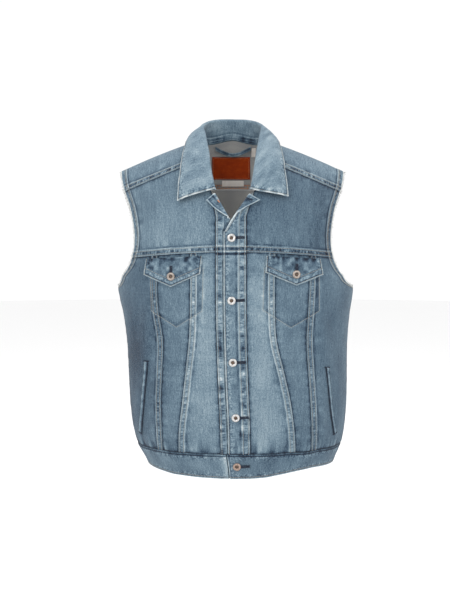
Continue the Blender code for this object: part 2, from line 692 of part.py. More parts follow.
def placket(hand, letter):
    foot, head, reaches, lean = LAPELS[letter]
    foot, head = np.array(foot), np.array(head)
    run = head - foot
    length = np.linalg.norm(run)
    up = run / length
    out = np.array((-up[1], up[0])) * hand
    radius, cloth = CURL_RADIUS, PLACKET_CLOTH
    lift = upper_lift if hand > 0 else under_lift
    rows = [[], []]
    low = np.linspace(HEM_SEAM, STRIP_TOP, ROWS_STRIP + 1)
    more = np.arange(STRIP_TOP + STRIP_EXTRA, foot[1] - LAPEL_EASE, STRIP_EXTRA)
    for z in np.concatenate((low, more[:STRIP_MORE], foot[1] - np.array(STRIP_LAST))):
        free = section("placket", z) + (0 if hand > 0 else UNDER_WIDTH - UNDER_SHOWS)
        if hand < 0:
            free = min(free, foot[0] + 1 + max(0, foot[1] - z) * UNDER_TAPER)
        start = placket_line(hand, z) - hand * STRIP_EASE
        near = free + hand * EDGE_STRIP
        if hand > 0:
            body = np.linspace(start, near, STRIP_CELLS + 1)
        else:
            step = under_edge(z)
            before = min(step - UNDER_STEP, near - UNDER_BEFORE)
            after = min(step + UNDER_STEP, near - UNDER_AFTER)
            body = np.array((start, before, after, 0.5 * (after + near), near))
        x = np.concatenate((body, np.linspace(near, free, TURN_CELLS + FLAT_CELLS + 1)[1:]))
        for depth, kept in zip((0.0, cloth), rows):
            kept.append(on_front(x, np.full(x.shape, z), lift(x, z) - depth))
    for share in np.linspace(0, 1, ROWS_LAPEL):
        centre = foot + run * share - out * (radius + cloth)
        reach = np.interp(share * length, [r[0] for r in reaches], [r[1] for r in reaches])
        flat = radius + cloth
        whole = reach * math.pi * radius / flat if reach < flat else math.pi * radius + reach - flat
        turned = min(math.pi * radius, whole * TURN_CELLS / (TURN_CELLS + FLAT_CELLS))
        flat_part = np.linspace(turned, whole, FLAT_CELLS + 1)[1:]
        distances = np.concatenate((np.linspace(0, turned, TURN_CELLS + 1), flat_part))
        z0 = foot[1] + (NECKLINE_FRONT[-1][1] - foot[1]) * share
        first = np.array((placket_line(hand, z0) - hand * STRIP_EASE, z0))
        flatter = first + (centre - first) * np.linspace(0, 1, STRIP_CELLS + 1)[:, None]
        for depth, kept in zip((0.0, cloth), rows):
            body = on_front(flatter[:, 0], flatter[:, 1], np.array([lift(*p) for p in flatter]) - depth)
            turn = np.clip(distances / radius, 0, math.pi)[1:]
            back = np.clip(distances - math.pi * radius, 0, None)[1:]
            sideways = (radius + depth) * np.sin(turn) - back
            height = radius - (radius + depth) * np.cos(turn)
            slant = -lean * share * back / max(reach, 1.0)
            place = centre + sideways[:, None] * out + slant[:, None] * up
            base = lift(*centre)
            kept.append(np.concatenate((body, on_front(place[:, 0], place[:, 1], base + height))))
    outer, inner = (towards(np.array(r), SEAM_GAP / 2) for r in rows)
    sheet("placket_" + letter, outer, inner)


# Hem bands: X and height of the bottom edge on the front.
HEM_BOTTOM = (
    (-214.0, -679.0),
    (-142.0, -691.0),
    (-92.0, -694.0),
    (-9.0, -697.0),
    (40.0, -696.0),
    (73.0, -693.5),
    (106.0, -688.0),
    (139.0, -682.5),
    (173.0, -678.0),
    (222.0, -678.0),
)
HEM_BACK_BOTTOM = -694.0
HEM_ROWS = 4
HEM_CELLS = 16
HEM_BACK_CELLS = 20
HEM_MIDDLE = -665.0
HEM_UNDER = (22.0, 10.0, -0.6, -2.6)
HEM_UNDER_COLUMNS = 3
HEM_AFTER_UNDER = 16.0


def hem_bottom(angle, side):
    x = section("centre", HEM_SEAM) + section("half_width", HEM_SEAM) * np.sin(angle)
    if side > 0:
        ends = 0.5 * (HEM_BOTTOM[0][1] + HEM_BOTTOM[-1][1])
        return HEM_BACK_BOTTOM + (ends - HEM_BACK_BOTTOM) * np.sin(angle) ** 6
    return np.interp(x, [r[0] for r in HEM_BOTTOM], [r[1] for r in HEM_BOTTOM])


def hem_band(name, angles, side, sinks=False):
    shares = np.linspace(0, 1, HEM_ROWS + 1)[:, None]
    top = hem_seam_height(np.sin(angles))
    z = top + (hem_bottom(angles, side) - top) * shares
    a = np.broadcast_to(angles, z.shape)
    lifts = np.full(z.shape, HEM_RISE)
    if sinks:
        lifts = np.where(a > angles[HEM_UNDER_COLUMNS] + 1e-6, UNDER_DROP, HEM_RISE)
    outer = towards(wrap(a, z, lifts), SEAM_GAP / 2)
    sheet(name, outer, towards(wrap(a, z, lifts - HEM_CLOTH), SEAM_GAP / 2))


def make_hem():
    edge = float(angle_at(section("placket", HEM_MIDDLE), HEM_MIDDLE))
    half = section("half_width", HEM_MIDDLE)
    quarter = math.pi / 2
    hem_band("hem_band_l", np.linspace(edge, quarter, HEM_CELLS + 1), -1)
    under = edge + np.array(HEM_UNDER) / half
    rest = np.linspace(edge - HEM_AFTER_UNDER / half, -quarter, HEM_CELLS - 1)
    hem_band("hem_band_r", np.concatenate((under, rest)), -1, sinks=True)
    hem_band("hem_band_back", np.linspace(quarter, 3 * quarter, HEM_BACK_CELLS + 1), 1)


# Collar, one row from the middle of the back to the front end. Neck is a share of the neckline:
# 3 at the middle of the back, 2 at the shoulder, 1 at the shoulder seam and 0 at the front end.
# The top of the fold and the outer edge follow.
COLLAR_COLUMNS = ("neck", "fold_x", "fold_y", "fold_z", "edge_x", "edge_y", "edge_z")
COLLAR = (
    (3.0, 0.0, 62.0, 50.5, 0.0, 90.0, -5.0),
    (2.78, 25.0, 59.0, 49.5, 31.0, 85.0, -6.0),
    (2.55, 45.0, 47.0, 46.0, 59.0, 67.0, -8.0),
    (2.28, 57.5, 30.0, 39.5, 82.0, 40.0, -7.0),
    (2.0, 61.5, 12.0, 32.0, 95.0, 10.0, -2.0),
    (1.72, 59.0, -6.0, 20.0, 99.5, -20.0, -12.0),
    (1.34, 54.0, -30.0, -1.0, 103.0, -49.0, -37.0),
    (0.93, 48.5, -62.0, -32.0, 106.0, -74.0, -64.0),
    (0.56, 43.5, -90.0, -68.0, 109.0, -90.0, -94.0),
    (0.22, 39.0, -107.0, -92.0, 110.5, -100.0, -115.0),
    (0.03, 36.0, -114.0, -105.0, 111.0, -106.0, -129.0),
)
COLLAR_FOLD = 3.6
COLLAR_SEAT = 2.0
COLLAR_LIFT = 0.8
COLLAR_STATIONS = 12
STAND_CELLS = 3
FOLD_CELLS = 5
FALL_CELLS = 4
FALL_BOW = 5.0
FALL_LENGTH = 50.0


def collar_rows():
    """Half of the collar: neck, fold and edge at each station, on smooth curves."""
    rows = np.array(COLLAR)
    marks = np.arange(len(rows), dtype=float)
    places = np.linspace(0, len(rows) - 1, COLLAR_STATIONS + 1)
    columns = ("mark",) + COLLAR_COLUMNS
    listed = np.column_stack((marks, rows))[::-1]
    made = np.stack([table(columns, listed, name, places) for name in COLLAR_COLUMNS], -1)
    base, normals = [], []
    for share in made[:, 0]:
        if share >= 1:
            place, cloth = neck_start(min(share, 3.0)), over
        else:
            place, cloth = along(NECKLINE_FRONT, [1 - share])[0], on_front
        low, high = cloth(*place, -DENIM / 2), cloth(*place, 1 - DENIM / 2)
        base.append(low)
        normals.append(high - low)
    base, normals = np.array(base), np.array(normals)
    ways = np.gradient(base, axis=0)
    ways[0] = (1, 0, 0)
    into = np.cross(ways, normals)
    into /= np.linalg.norm(into, axis=1, keepdims=True)
    return base + into * COLLAR_SEAT + normals * COLLAR_LIFT, made[:, 1:4], made[:, 4:7]


def make_collar():
    neck, fold, edge = collar_rows()
    along_fold = np.gradient(fold, axis=0)
    along_fold[0] = (1, 0, 0)
    rows = []
    for n, t, e, way in zip(neck, fold, edge, along_fold):
        way = way / np.linalg.norm(way)
        stand = t - n
        stand -= way * stand.dot(way)
        up = stand / np.linalg.norm(stand)
        over_side = np.cross(up, way)
        over_side *= math.copysign(1, over_side.dot(e - n))
        middle = t - up * COLLAR_FOLD
        inside, outside = middle - over_side * COLLAR_FOLD, middle + over_side * COLLAR_FOLD
        path = [n + (inside - n) * k / STAND_CELLS for k in range(STAND_CELLS)]
        for k in range(FOLD_CELLS + 1):
            a = math.pi * k / FOLD_CELLS
            path.append(middle - over_side * COLLAR_FOLD * math.cos(a) + up * COLLAR_FOLD * math.sin(a))
        for k in range(1, FALL_CELLS + 1):
            share = k / FALL_CELLS
            bow = FALL_BOW * math.sin(math.pi * share) * min(1.0, np.linalg.norm(e - t) / FALL_LENGTH)
            path.append(outside + (e - outside) * share + over_side * bow)
        rows.append(path)
    half = np.array(rows)
    mirror = half[:0:-1] * np.array((-1, 1, 1))
    middle = np.concatenate((mirror, half))
    across = np.gradient(middle, axis=1)
    lengthways = np.gradient(middle, axis=0)
    normal = np.cross(lengthways, across)
    normal /= np.linalg.norm(normal, axis=-1, keepdims=True)
    sheet("collar", middle + normal * COLLAR_CLOTH / 2, middle - normal * COLLAR_CLOTH / 2)


# Frayed armhole edges: a narrow strip parted from the cloth, with strands rooted in its rim.
STUB_WIDTH = 5.0
STUB_LIFTS = (-0.2, -1.4)
STRAND_SPACING = 15.0
STRAND_ROOT = 1.1
STRAND_LENGTH = (4.5, 8.5)
STRAND_SWING = 2.5
STRAND_BEND = (-1.2, 1.8)
STRAND_MIDDLE = 0.55
STRAND_MIDDLE_TURN = 0.3
STRAND_TAPER = 0.7


def armhole_edge(letter, loop, normals):
    """Strip round a closed armhole loop, with strands grown from its outer rim."""
    chance = random.Random(11 if letter == "r" else 12)
    count = len(loop)
    centre = loop.mean(axis=0)
    ways = []
    for i in range(count):
        tangent = loop[(i + 1) % count] - loop[i - 1]
        way = np.cross(tangent, normals[i])
        way /= np.linalg.norm(way)
        ways.append(way if way.dot(centre - loop[i]) > 0 else -way)
    ways = np.array(ways)
    for _ in range(2):
        ways = ways + np.roll(ways, 1, axis=0) + np.roll(ways, -1, axis=0)
        ways /= np.linalg.norm(ways, axis=1, keepdims=True)
    places, roots = [], []
    for i in range(count):
        length = np.linalg.norm(loop[(i + 1) % count] - loop[i])
        strands = max(1, round(length / STRAND_SPACING))
        places.append((i, 0.0))
        for k in range(strands):
            middle = (k + 0.5) / strands
            half = STRAND_ROOT / 2 / length
            roots.append(len(places))
            places.append((i, middle - half))
            places.append((i, middle + half))
    layers = []
    for lift in STUB_LIFTS:
        near, far = [], []
        for i, share in places:
            j = (i + 1) % count
            base = loop[i] + (loop[j] - loop[i]) * share
            normal = normals[i] + (normals[j] - normals[i]) * share
            way = ways[i] + (ways[j] - ways[i]) * share
            near.append(base + normal * lift + way * SEAM_GAP / 2)
            far.append(base + normal * lift + way * STUB_WIDTH)
        layers.append(np.array((near, far)))
    made = sheet("armhole_edge_" + letter, layers[0], layers[1], RAW_COTTON, ring=True)
    work = bmesh.new()
    work.from_mesh(made.data)
    rim = list(work.verts)
    columns = len(places)
    for root in roots:
        corners = [columns + root, columns + root + 1, 3 * columns + root + 1, 3 * columns + root]
        verts = [rim[c] for c in corners]
        face = next(f for f in verts[0].link_faces if set(f.verts) == set(verts))
        i, share = places[root]
        way = ways[i] + (ways[(i + 1) % count] - ways[i]) * share
        tangent = loop[(i + 1) % count] - loop[i]
        tangent /= np.linalg.norm(tangent)
        length = chance.uniform(*STRAND_LENGTH)
        swing = chance.uniform(-STRAND_SWING, STRAND_SWING)
        bend = normals[i] * chance.uniform(*STRAND_BEND)
        middle = np.mean([v.co for v in verts], axis=0) / MM
        mid = middle + way * length * STRAND_MIDDLE + (tangent * swing + bend) * STRAND_MIDDLE_TURN
        tip = middle + way * length + tangent * swing + bend
        ring = []
        for v in verts:
            start = np.array(v.co) / MM
            ring.append(work.verts.new(tuple((mid + (start - middle) * STRAND_TAPER) * MM)))
        end = work.verts.new(tuple(tip * MM))
        work.faces.remove(face)
        for k in range(4):
            n = (k + 1) % 4
            work.faces.new((verts[k], verts[n], ring[n], ring[k]))
            work.faces.new((ring[k], ring[n], end))
    bmesh.ops.recalc_face_normals(work, faces=work.faces)
    work.to_mesh(made.data)
    work.free()


# Pieces that lie on the fronts. A flap's corners are its top's inner and outer ends, its sides'
# inner and outer ends, and its point, each as X and Z. A welt's are its head and its foot.
FLAP_LIFT = 1.5
FLAPS = {
    "r": ((-60.0, -238.5), (-174.0, -245.5), (-64.8, -274.6), (-178.6, -277.6), (-123.9, -301.0)),
    "l": ((66.0, -238.5), (176.5, -245.5), (64.6, -271.9), (181.7, -277.5), (126.8, -298.0)),
}
FLAP_CELLS = 5
WELT_WIDTH = 8.0
WELT_CELLS = 11
WELT_LIFT = 0.6
WELTS = {"r": ((-175.6, -454.4), (-191.8, -608.6)), "l": ((192.0, -466.7), (213.5, -608.6))}


def flap(letter):
    top_in, top_out, low_in, low_out, point = (np.array(p) for p in FLAPS[letter])
    s = np.linspace(0, 1, 2 * FLAP_CELLS + 1)[:, None]
    top = top_in + (top_out - top_in) * s
    low = np.where(s <= 0.5, low_in + (point - low_in) * s * 2, point + (low_out - point) * (s * 2 - 1))
    grid = np.array([top + (low - top) * t for t in np.linspace(0, 1, FLAP_CELLS)])
    x, z = grid[..., 0], grid[..., 1]
    sheet("flap_" + letter, on_front(x, z, FLAP_LIFT + FLAP_CLOTH), on_front(x, z, FLAP_LIFT))


def welt(letter):
    head, foot = (np.array(p) for p in WELTS[letter])
    way = (foot - head) / np.linalg.norm(foot - head)
    across = np.array((-way[1], way[0]))
    lines = np.array([head + (foot - head) * t for t in np.linspace(0, 1, WELT_CELLS + 1)])
    grid = lines[:, None] + across * np.linspace(-WELT_WIDTH / 2, WELT_WIDTH / 2, 3)[None, :, None]
    x, z = grid[..., 0], grid[..., 1]
    sheet("welt_" + letter, on_front(x, z, WELT_LIFT + DENIM), on_front(x, z, WELT_LIFT))


# Radii and heights of a button, from its middle out and under.
BUTTON_PROFILE = ((2.6, 0.9), (3.4, 1.9), (5.2, 2.8), (7.2, 2.6), (8.3, 1.4), (7.6, 0.0))
BUTTON_SIDES = 12
BUTTONS = {
    "button_1": (-2.8, -203.0, PLACKET_RISE),
    "button_2": (-2.6, -327.6, PLACKET_RISE),
    "button_3": (0.1, -452.0, PLACKET_RISE),
    "button_4": (6.0, -565.0, PLACKET_RISE),
    "button_5": (8.8, -669.0, HEM_RISE),
    "flap_button_r": (-122.7, -280.0, FLAP_LIFT + FLAP_CLOTH),
    "flap_button_l": (126.0, -276.0, FLAP_LIFT + FLAP_CLOTH),
}


def button(name, x, z, lift):
    base = on_front(x, z, lift + SEAM_GAP)
    normal = on_front(x, z, lift + 1.0 + SEAM_GAP) - base
    sideways = np.cross(normal, (0, 0, 1))
    sideways /= np.linalg.norm(sideways)
    upward = np.cross(sideways, normal)
    points = []
    for radius, height in BUTTON_PROFILE:
        for k in range(BUTTON_SIDES):
            a = 2 * math.pi * k / BUTTON_SIDES
            outward = math.cos(a) * sideways + math.sin(a) * upward
            points.append(base + normal * height + radius * outward)
    rings = len(BUTTON_PROFILE)
    last = (rings - 1) * BUTTON_SIDES
    faces = [tuple(range(BUTTON_SIDES)), tuple(reversed(range(last, last + BUTTON_SIDES)))]
    for i in range(rings - 1):
        for k in range(BUTTON_SIDES):
            n = (k + 1) % BUTTON_SIDES
            a, b = i * BUTTON_SIDES, (i + 1) * BUTTON_SIDES
            faces.append((a + k, b + k, b + n, a + n))
    add_object(name, points, faces, COPPER if name == "button_5" else BUTTON_METAL)


# Pieces inside the back of the neck: X from and to, and the heights of the top and the foot.
PATCH = ((-44.0, 40.0), (-27.0, -75.0))
WASH_LABEL = ((-22.0, 26.0), (-78.0, -90.5))
SIZE_LABEL = ((43.0, 52.0), (-9.0, -27.0))
LOOP_ENDS = (-37.0, 41.0)
LOOP_TOP = -6.0
LOOP_SAG = 13.0
LOOP_WIDTH = 8.0
LOOP_CLOTH = 1.5
LOOP_STAND = 4.0
LOOP_CELLS = 14
INSIDE = -DENIM - 0.8
PATCH_CLOTH = 1.5
LABEL_CLOTH = 0.8
PATCH_ROWS = 4


def inside_patch(name, extent, thickness, cells, finish):
    (x0, x1), (top, foot) = extent
    x = np.linspace(x0, x1, cells + 1)
    shares = np.linspace(0, 1, PATCH_ROWS + 1)
    w = np.array([[profile_distance(v, top + (foot - top) * t, 1) for v in x] for t in shares])
    xs = np.broadcast_to(x, w.shape)
    sheet(name, over(xs, w, INSIDE), over(xs, w, INSIDE - thickness), finish)


def hanger_loop():
    x = np.linspace(LOOP_ENDS[0], LOOP_ENDS[1], LOOP_CELLS + 1)
    share = np.sin(np.linspace(0, math.pi, LOOP_CELLS + 1))
    top = np.array([profile_distance(v, LOOP_TOP, 1) for v in x]) + LOOP_SAG * share
    w = np.array([top, top + LOOP_WIDTH])
    xs = np.broadcast_to(x, w.shape)
    near = INSIDE - LOOP_STAND * share
    sheet("hanger_loop", over(xs, w, near), over(xs, w, near - LOOP_CLOTH))


def armhole_loop(letter, hand, yoke_edge, lower, back_edge):
    """The armhole's edge from the shoulder seam down the front, up the back and over the shoulder."""
    front, back = lower
    points, normals = [], []

    def keep(outer, inner):
        for p, q in zip(outer, inner):
            points.append(p)
            normals.append((p - q) / np.linalg.norm(p - q))

    x, z = yoke_edge[:, 0], yoke_edge[:, 1]
    keep(on_front(x, z), on_front(x, z, -1.0))
    a, h = front[0][:, -1], front[1][:, -1]
    rows = ROWS_ARMHOLE
    keep(wrap(a, h)[1 : rows + 1], wrap(a, h, -1.0)[1 : rows + 1])
    a, h = back[0][:, -1], back[1][:, -1]
    rows = ROWS_BACK + ROWS_ARMHOLE
    keep(wrap(a, h)[rows - 1 :: -1], wrap(a, h, -1.0)[rows - 1 :: -1])
    x, w = hand * back_edge[0][::-1], back_edge[1][::-1]
    keep(over(x, w)[1:-1], over(x, w, -1.0)[1:-1])
    armhole_edge(letter, np.array(points), np.array(normals))


def main():
    for old in list(bpy.data.objects):
        bpy.data.objects.remove(old, do_unlink=True)
    edges = make_lower_panels()
    back_angles, back_heights = edges["l"][1]
    end_x = float(wrap_raw(back_angles[0, -1], back_heights[0, -1])[0][0])
    back_edge = back_yoke(end_x)
    for hand, letter in ((-1, "r"), (1, "l")):
        yoke_edge = front_yoke(hand, letter)
        armhole_loop(letter, hand, yoke_edge, edges[letter], back_edge)
        placket(hand, letter)
        flap(letter)
        welt(letter)
    make_hem()
    make_collar()
    for name, place in BUTTONS.items():
        button(name, *place)
    inside_patch("neck_patch", PATCH, PATCH_CLOTH, 8, LEATHER_BROWN)
    inside_patch("wash_label", WASH_LABEL, LABEL_CLOTH, 5, LABEL_CREAM)
    inside_patch("size_label", SIZE_LABEL, LABEL_CLOTH, 2, LABEL_CREAM)
    hanger_loop()


main()
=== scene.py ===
import math
from functools import partial

import bpy
import numpy as np
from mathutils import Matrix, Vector


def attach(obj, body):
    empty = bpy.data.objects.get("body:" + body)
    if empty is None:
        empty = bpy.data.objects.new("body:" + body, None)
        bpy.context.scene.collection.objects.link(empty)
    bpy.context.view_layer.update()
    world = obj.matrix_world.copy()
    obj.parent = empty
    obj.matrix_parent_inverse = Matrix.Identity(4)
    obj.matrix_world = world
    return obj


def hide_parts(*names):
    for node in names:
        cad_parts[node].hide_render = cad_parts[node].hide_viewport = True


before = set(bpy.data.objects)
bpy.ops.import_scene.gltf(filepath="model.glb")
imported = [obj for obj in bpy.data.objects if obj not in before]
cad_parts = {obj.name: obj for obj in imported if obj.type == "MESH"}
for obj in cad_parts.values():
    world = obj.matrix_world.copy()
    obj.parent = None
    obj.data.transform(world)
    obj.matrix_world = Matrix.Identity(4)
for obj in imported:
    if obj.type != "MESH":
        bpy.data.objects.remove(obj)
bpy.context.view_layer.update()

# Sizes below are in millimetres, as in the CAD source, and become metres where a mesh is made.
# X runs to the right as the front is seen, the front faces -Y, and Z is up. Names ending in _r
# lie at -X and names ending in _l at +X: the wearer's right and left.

MM = 0.001
CHANCE = np.random.default_rng(41)
HANDS = ((-1, "r"), (1, "l"))
EDGES = ("left", "right", "top", "bottom")
FAR = 99.0
QUARTER = math.pi / 2

# Cloth thicknesses, and how far seams and raised pieces stand out.
SEAM_GAP = 0.3
DENIM = 1.6
PLACKET_CLOTH = 2.6
HEM_CLOTH = 3.0
FLAP_CLOTH = 2.2
COLLAR_CLOTH = 2.4
FELL_RISE = 0.9
PLACKET_RISE = 1.0
HEM_RISE = 1.4

# Widths of folded edges, and the distances of their stitch rows from the edge.
FELL_WIDTH = 13.0
FIRST_ROW = 2.6
FELL_SECOND = 10.4
FELL_ROWS = (FIRST_ROW, FELL_SECOND)
PLACKET_FELL = {"r": 15.0, "l": 16.0}
RIM_ROW = 2.4
BAND_WIDTH = 13.0
BAND_ROWS = (8.0, BAND_WIDTH - 2.2)
HEM_TOP_ROW = 3.2
HEM_FOOT_ROW = 4.6
WELT_ROW = 1.6

# Horizontal sections of the garment, one row for each height. The placket column is the free
# front edge of the upper placket.
SECTION_COLUMNS = ("height", "centre", "half_width", "front", "back", "placket")
SECTIONS = (
    (60.0, 0.0, 250.0, 100.0, 100.0, -18.5),
    (-50.0, 0.0, 249.0, 102.0, 103.0, -18.5),
    (-100.0, 0.0, 243.0, 106.0, 108.0, -18.5),
    (-150.0, 0.0, 236.0, 113.0, 113.0, -18.5),
    (-204.0, 0.0, 231.0, 121.0, 116.0, -18.5),
    (-254.0, 2.0, 236.0, 125.0, 116.0, -18.5),
    (-290.0, 5.0, 245.0, 126.0, 114.0, -18.5),
    (-310.0, 7.0, 247.5, 126.0, 112.0, -18.5),
    (-326.0, 7.5, 245.5, 126.0, 111.5, -18.3),
    (-356.0, 8.5, 240.0, 125.0, 110.0, -18.0),
    (-407.0, 10.0, 234.0, 124.0, 108.0, -17.0),
    (-509.0, 12.0, 231.0, 121.0, 108.0, -13.5),
    (-560.0, 13.0, 229.0, 117.0, 107.0, -11.0),
    (-611.0, 14.0, 223.0, 111.0, 105.0, -9.5),
    (-643.0, 15.0, 214.0, 105.0, 101.0, -9.0),
    (-668.0, 17.0, 202.0, 99.0, 96.0, -8.7),
    (-705.0, 18.0, 186.0, 91.0, 90.0, -8.7),
)
FRONT_SQUARENESS = 2.6
BACK_SQUARENESS = 2.8

# Shoulders.
NECK_HALF = 75.0
SHOULDER_SLOPE = 0.33
SHOULDER_BEND = 0.00045
RIDGE_ROUND = 15.0
NAPE_RISE = 16.0
RIDGE_Y = 8.0
FRONT_ROUND_DEPTH = 165.0
BACK_ROUND_DEPTH = 120.0

# Seams on the fronts, X at each height. The outer and inner ones frame the middle panels.
SEAM_COLUMNS = ("height", "outer_r", "inner_r", "inner_l", "outer_l")
FRONT_SEAMS = (
    (-225.0, -151.0, -85.0, 85.0, 157.0),
    (-347.0, -150.0, -85.5, 84.0, 152.0),
    (-409.0, -141.0, -88.0, 88.0, 149.0),
    (-472.0, -143.0, -95.0, 103.0, 153.0),
    (-534.0, -146.0, -102.0, 117.0, 158.0),
    (-600.0, -145.0, -109.5, 126.0, 161.5),
    (-650.0, -143.5, -110.0, 129.0, 162.0),
)
BACK_SEAM_COLUMNS = ("height", "back")
BACK_SEAMS = (
    (-95.0, 128.0),
    (-250.0, 108.0),
    (-450.0, 86.0),
    (-650.0, 74.0),
)

# Armhole edge: distance from X = 0 at each height, on the front and on the back.
ARMHOLE_COLUMNS = ("height", "front", "back")
ARMHOLE = (
    (-60.0, 235.0, 235.0),
    (-90.0, 229.0, 232.0),
    (-112.0, 220.5, 227.0),
    (-140.0, 210.0, 219.0),
    (-170.0, 203.0, 212.0),
    (-208.0, 199.5, 209.0),
    (-245.0, 205.0, 214.0),
    (-268.0, 216.0, 223.0),
    (-284.0, 228.0, 232.0),
)
ARMHOLE_BOTTOM = -308.0

# Heights of the seams that run across, at the middle and their drop towards the sides.
CHEST_SEAM = -231.0
CHEST_DROP = 16.0
YOKE_SEAM = -98.0
YOKE_DROP = 18.0
HEM_SEAM = -643.0
HEM_RAISE = 5.0

# Shoulder seam, moved to the front of the shoulder, and the neckline.
SEAM_AT_NECK = (72.0, -47.0)
SHOULDER_SEAM_SLOPE = 0.40
NAPE_Y = 70.0
NECKLINE_FRONT = ((72.0, -47.0), (67.5, -66.0), (60.0, -86.0), (51.5, -100.0), (43.0, -109.0))

# Plackets.
PLACKET_WIDTH = 45.0
UNDER_SHOWS = 15.5
UNDER_WIDTH = 46.0
PLACKET_TURN = -160.0
CURL_RADIUS = 1.8


def unit(vectors):
    return vectors / np.linalg.norm(vectors, axis=-1, keepdims=True)


def run_length(points):
    """Length along a line at each of its points."""
    steps = np.linalg.norm(np.diff(points, axis=0), axis=1)
    return np.concatenate(([0], np.cumsum(steps)))


def line_at(at, length, values):
    """Values on a line at one length along it or at several."""
    return np.stack([np.interp(at, length, column) for column in np.asarray(values).T], -1)


def table(columns, rows, column, height):
    """One column of a table at any height, on a smooth curve through its rows."""
    rows = np.array(rows)[::-1]
    z, v = rows[:, 0], rows[:, columns.index(column)]
    slope = np.gradient(v, z)
    h = np.clip(np.asarray(height, float), z[0], z[-1])
    i = np.clip(np.searchsorted(z, h) - 1, 0, len(z) - 2)
    step = z[i + 1] - z[i]
    t = (h - z[i]) / step
    level = (2 * t**3 - 3 * t**2 + 1) * v[i] + (3 * t**2 - 2 * t**3) * v[i + 1]
    bend = (t**3 - 2 * t**2 + t) * slope[i] + (t**3 - t**2) * slope[i + 1]
    return level + bend * step


def section(column, height):
    return table(SECTION_COLUMNS, SECTIONS, column, height)


def front_seam(column, height):
    return table(SEAM_COLUMNS, FRONT_SEAMS, column, height)


def ridge(x):
    """Height of the shoulder line. Between the neck points the neck hole cuts it off."""
    r = np.sqrt(np.square(x) + RIDGE_ROUND**2) - NECK_HALF
    crest = np.clip(1 - np.square(np.asarray(x) / NECK_HALF), 0, 1) ** 2
    return -SHOULDER_SLOPE * r - SHOULDER_BEND * r * np.abs(r) + NAPE_RISE * crest


def surface_y(x, z, side):
    """Depth of the outer cloth at x and z, on the front (side -1) or the back (side +1)."""
    front = np.asarray(side) < 0
    power = np.where(front, FRONT_SQUARENESS, BACK_SQUARENESS)
    u = np.clip(np.abs(x - section("centre", z)) / section("half_width", z), 0, 1)
    reach = np.where(front, section("front", z), section("back", z))
    reach = reach * np.sqrt(np.clip(1 - u**power, 0, 1))
    drop = np.clip(ridge(x) - z, 0, None)
    fall = np.clip(drop / np.where(front, FRONT_ROUND_DEPTH, BACK_ROUND_DEPTH), 0, 1)
    front_round = (1 - (1 - fall) ** 2) ** 0.6
    back_round = (1 - (1 - fall) ** 2.2) ** 0.55
    full = np.where(front, front_round, back_round)
    return side * reach * full + RIDGE_Y * (1 - full)


# Broad folds of the cloth: side, X, height, tilt, length, width and rise. Side is -1 on the front
# and +1 on the back, tilt is in degrees from upright, and a positive rise stands out.
FOLDS = (
    (-1, -196, -372, 12, 130, 13, -3.5),
    (-1, -176, -420, 8, 170, 16, 3.0),
    (-1, -205, -480, 4, 190, 15, -3.0),
    (-1, 206, -380, -14, 140, 14, -3.5),
    (-1, 188, -440, -8, 170, 16, 3.0),
    (-1, 205, -560, -4, 120, 13, -3.0),
    (-1, -60, -500, 6, 200, 20, 2.2),
    (-1, 62, -520, -9, 190, 20, 2.2),
    (-1, -118, -420, 4, 180, 18, -2.0),
    (-1, 128, -470, -7, 200, 17, -2.0),
    (-1, -150, -170, 48, 120, 14, -2.5),
    (-1, 150, -170, -48, 120, 14, -2.5),
    (-1, -100, -200, 30, 90, 14, 2.0),
    (-1, 100, -200, -30, 90, 14, 2.0),
    (-1, 110, -640, 3, 90, 14, -2.6),
    (-1, 150, -640, -3, 90, 13, 2.4),
    (-1, 178, -645, -3, 80, 11, -2.4),
    (-1, -120, -640, 3, 90, 15, 1.8),
    (1, -150, -190, -35, 130, 18, -3.0),
    (1, 150, -190, 35, 130, 18, -3.0),
    (1, -175, -400, -10, 180, 17, 3.0),
    (1, 175, -400, 10, 180, 17, 3.0),
    (1, -200, -480, -4, 180, 15, -3.0),
    (1, 205, -470, 4, 180, 15, -3.0),
    (1, -40, -430, -4, 240, 22, 2.4),
    (1, 45, -480, 5, 240, 22, -2.4),
    (1, -95, -560, -5, 170, 18, -2.4),
    (1, 100, -580, 4, 160, 18, 2.4),
)
FOLD_TOP = -70.0
FOLD_FADE = 70.0

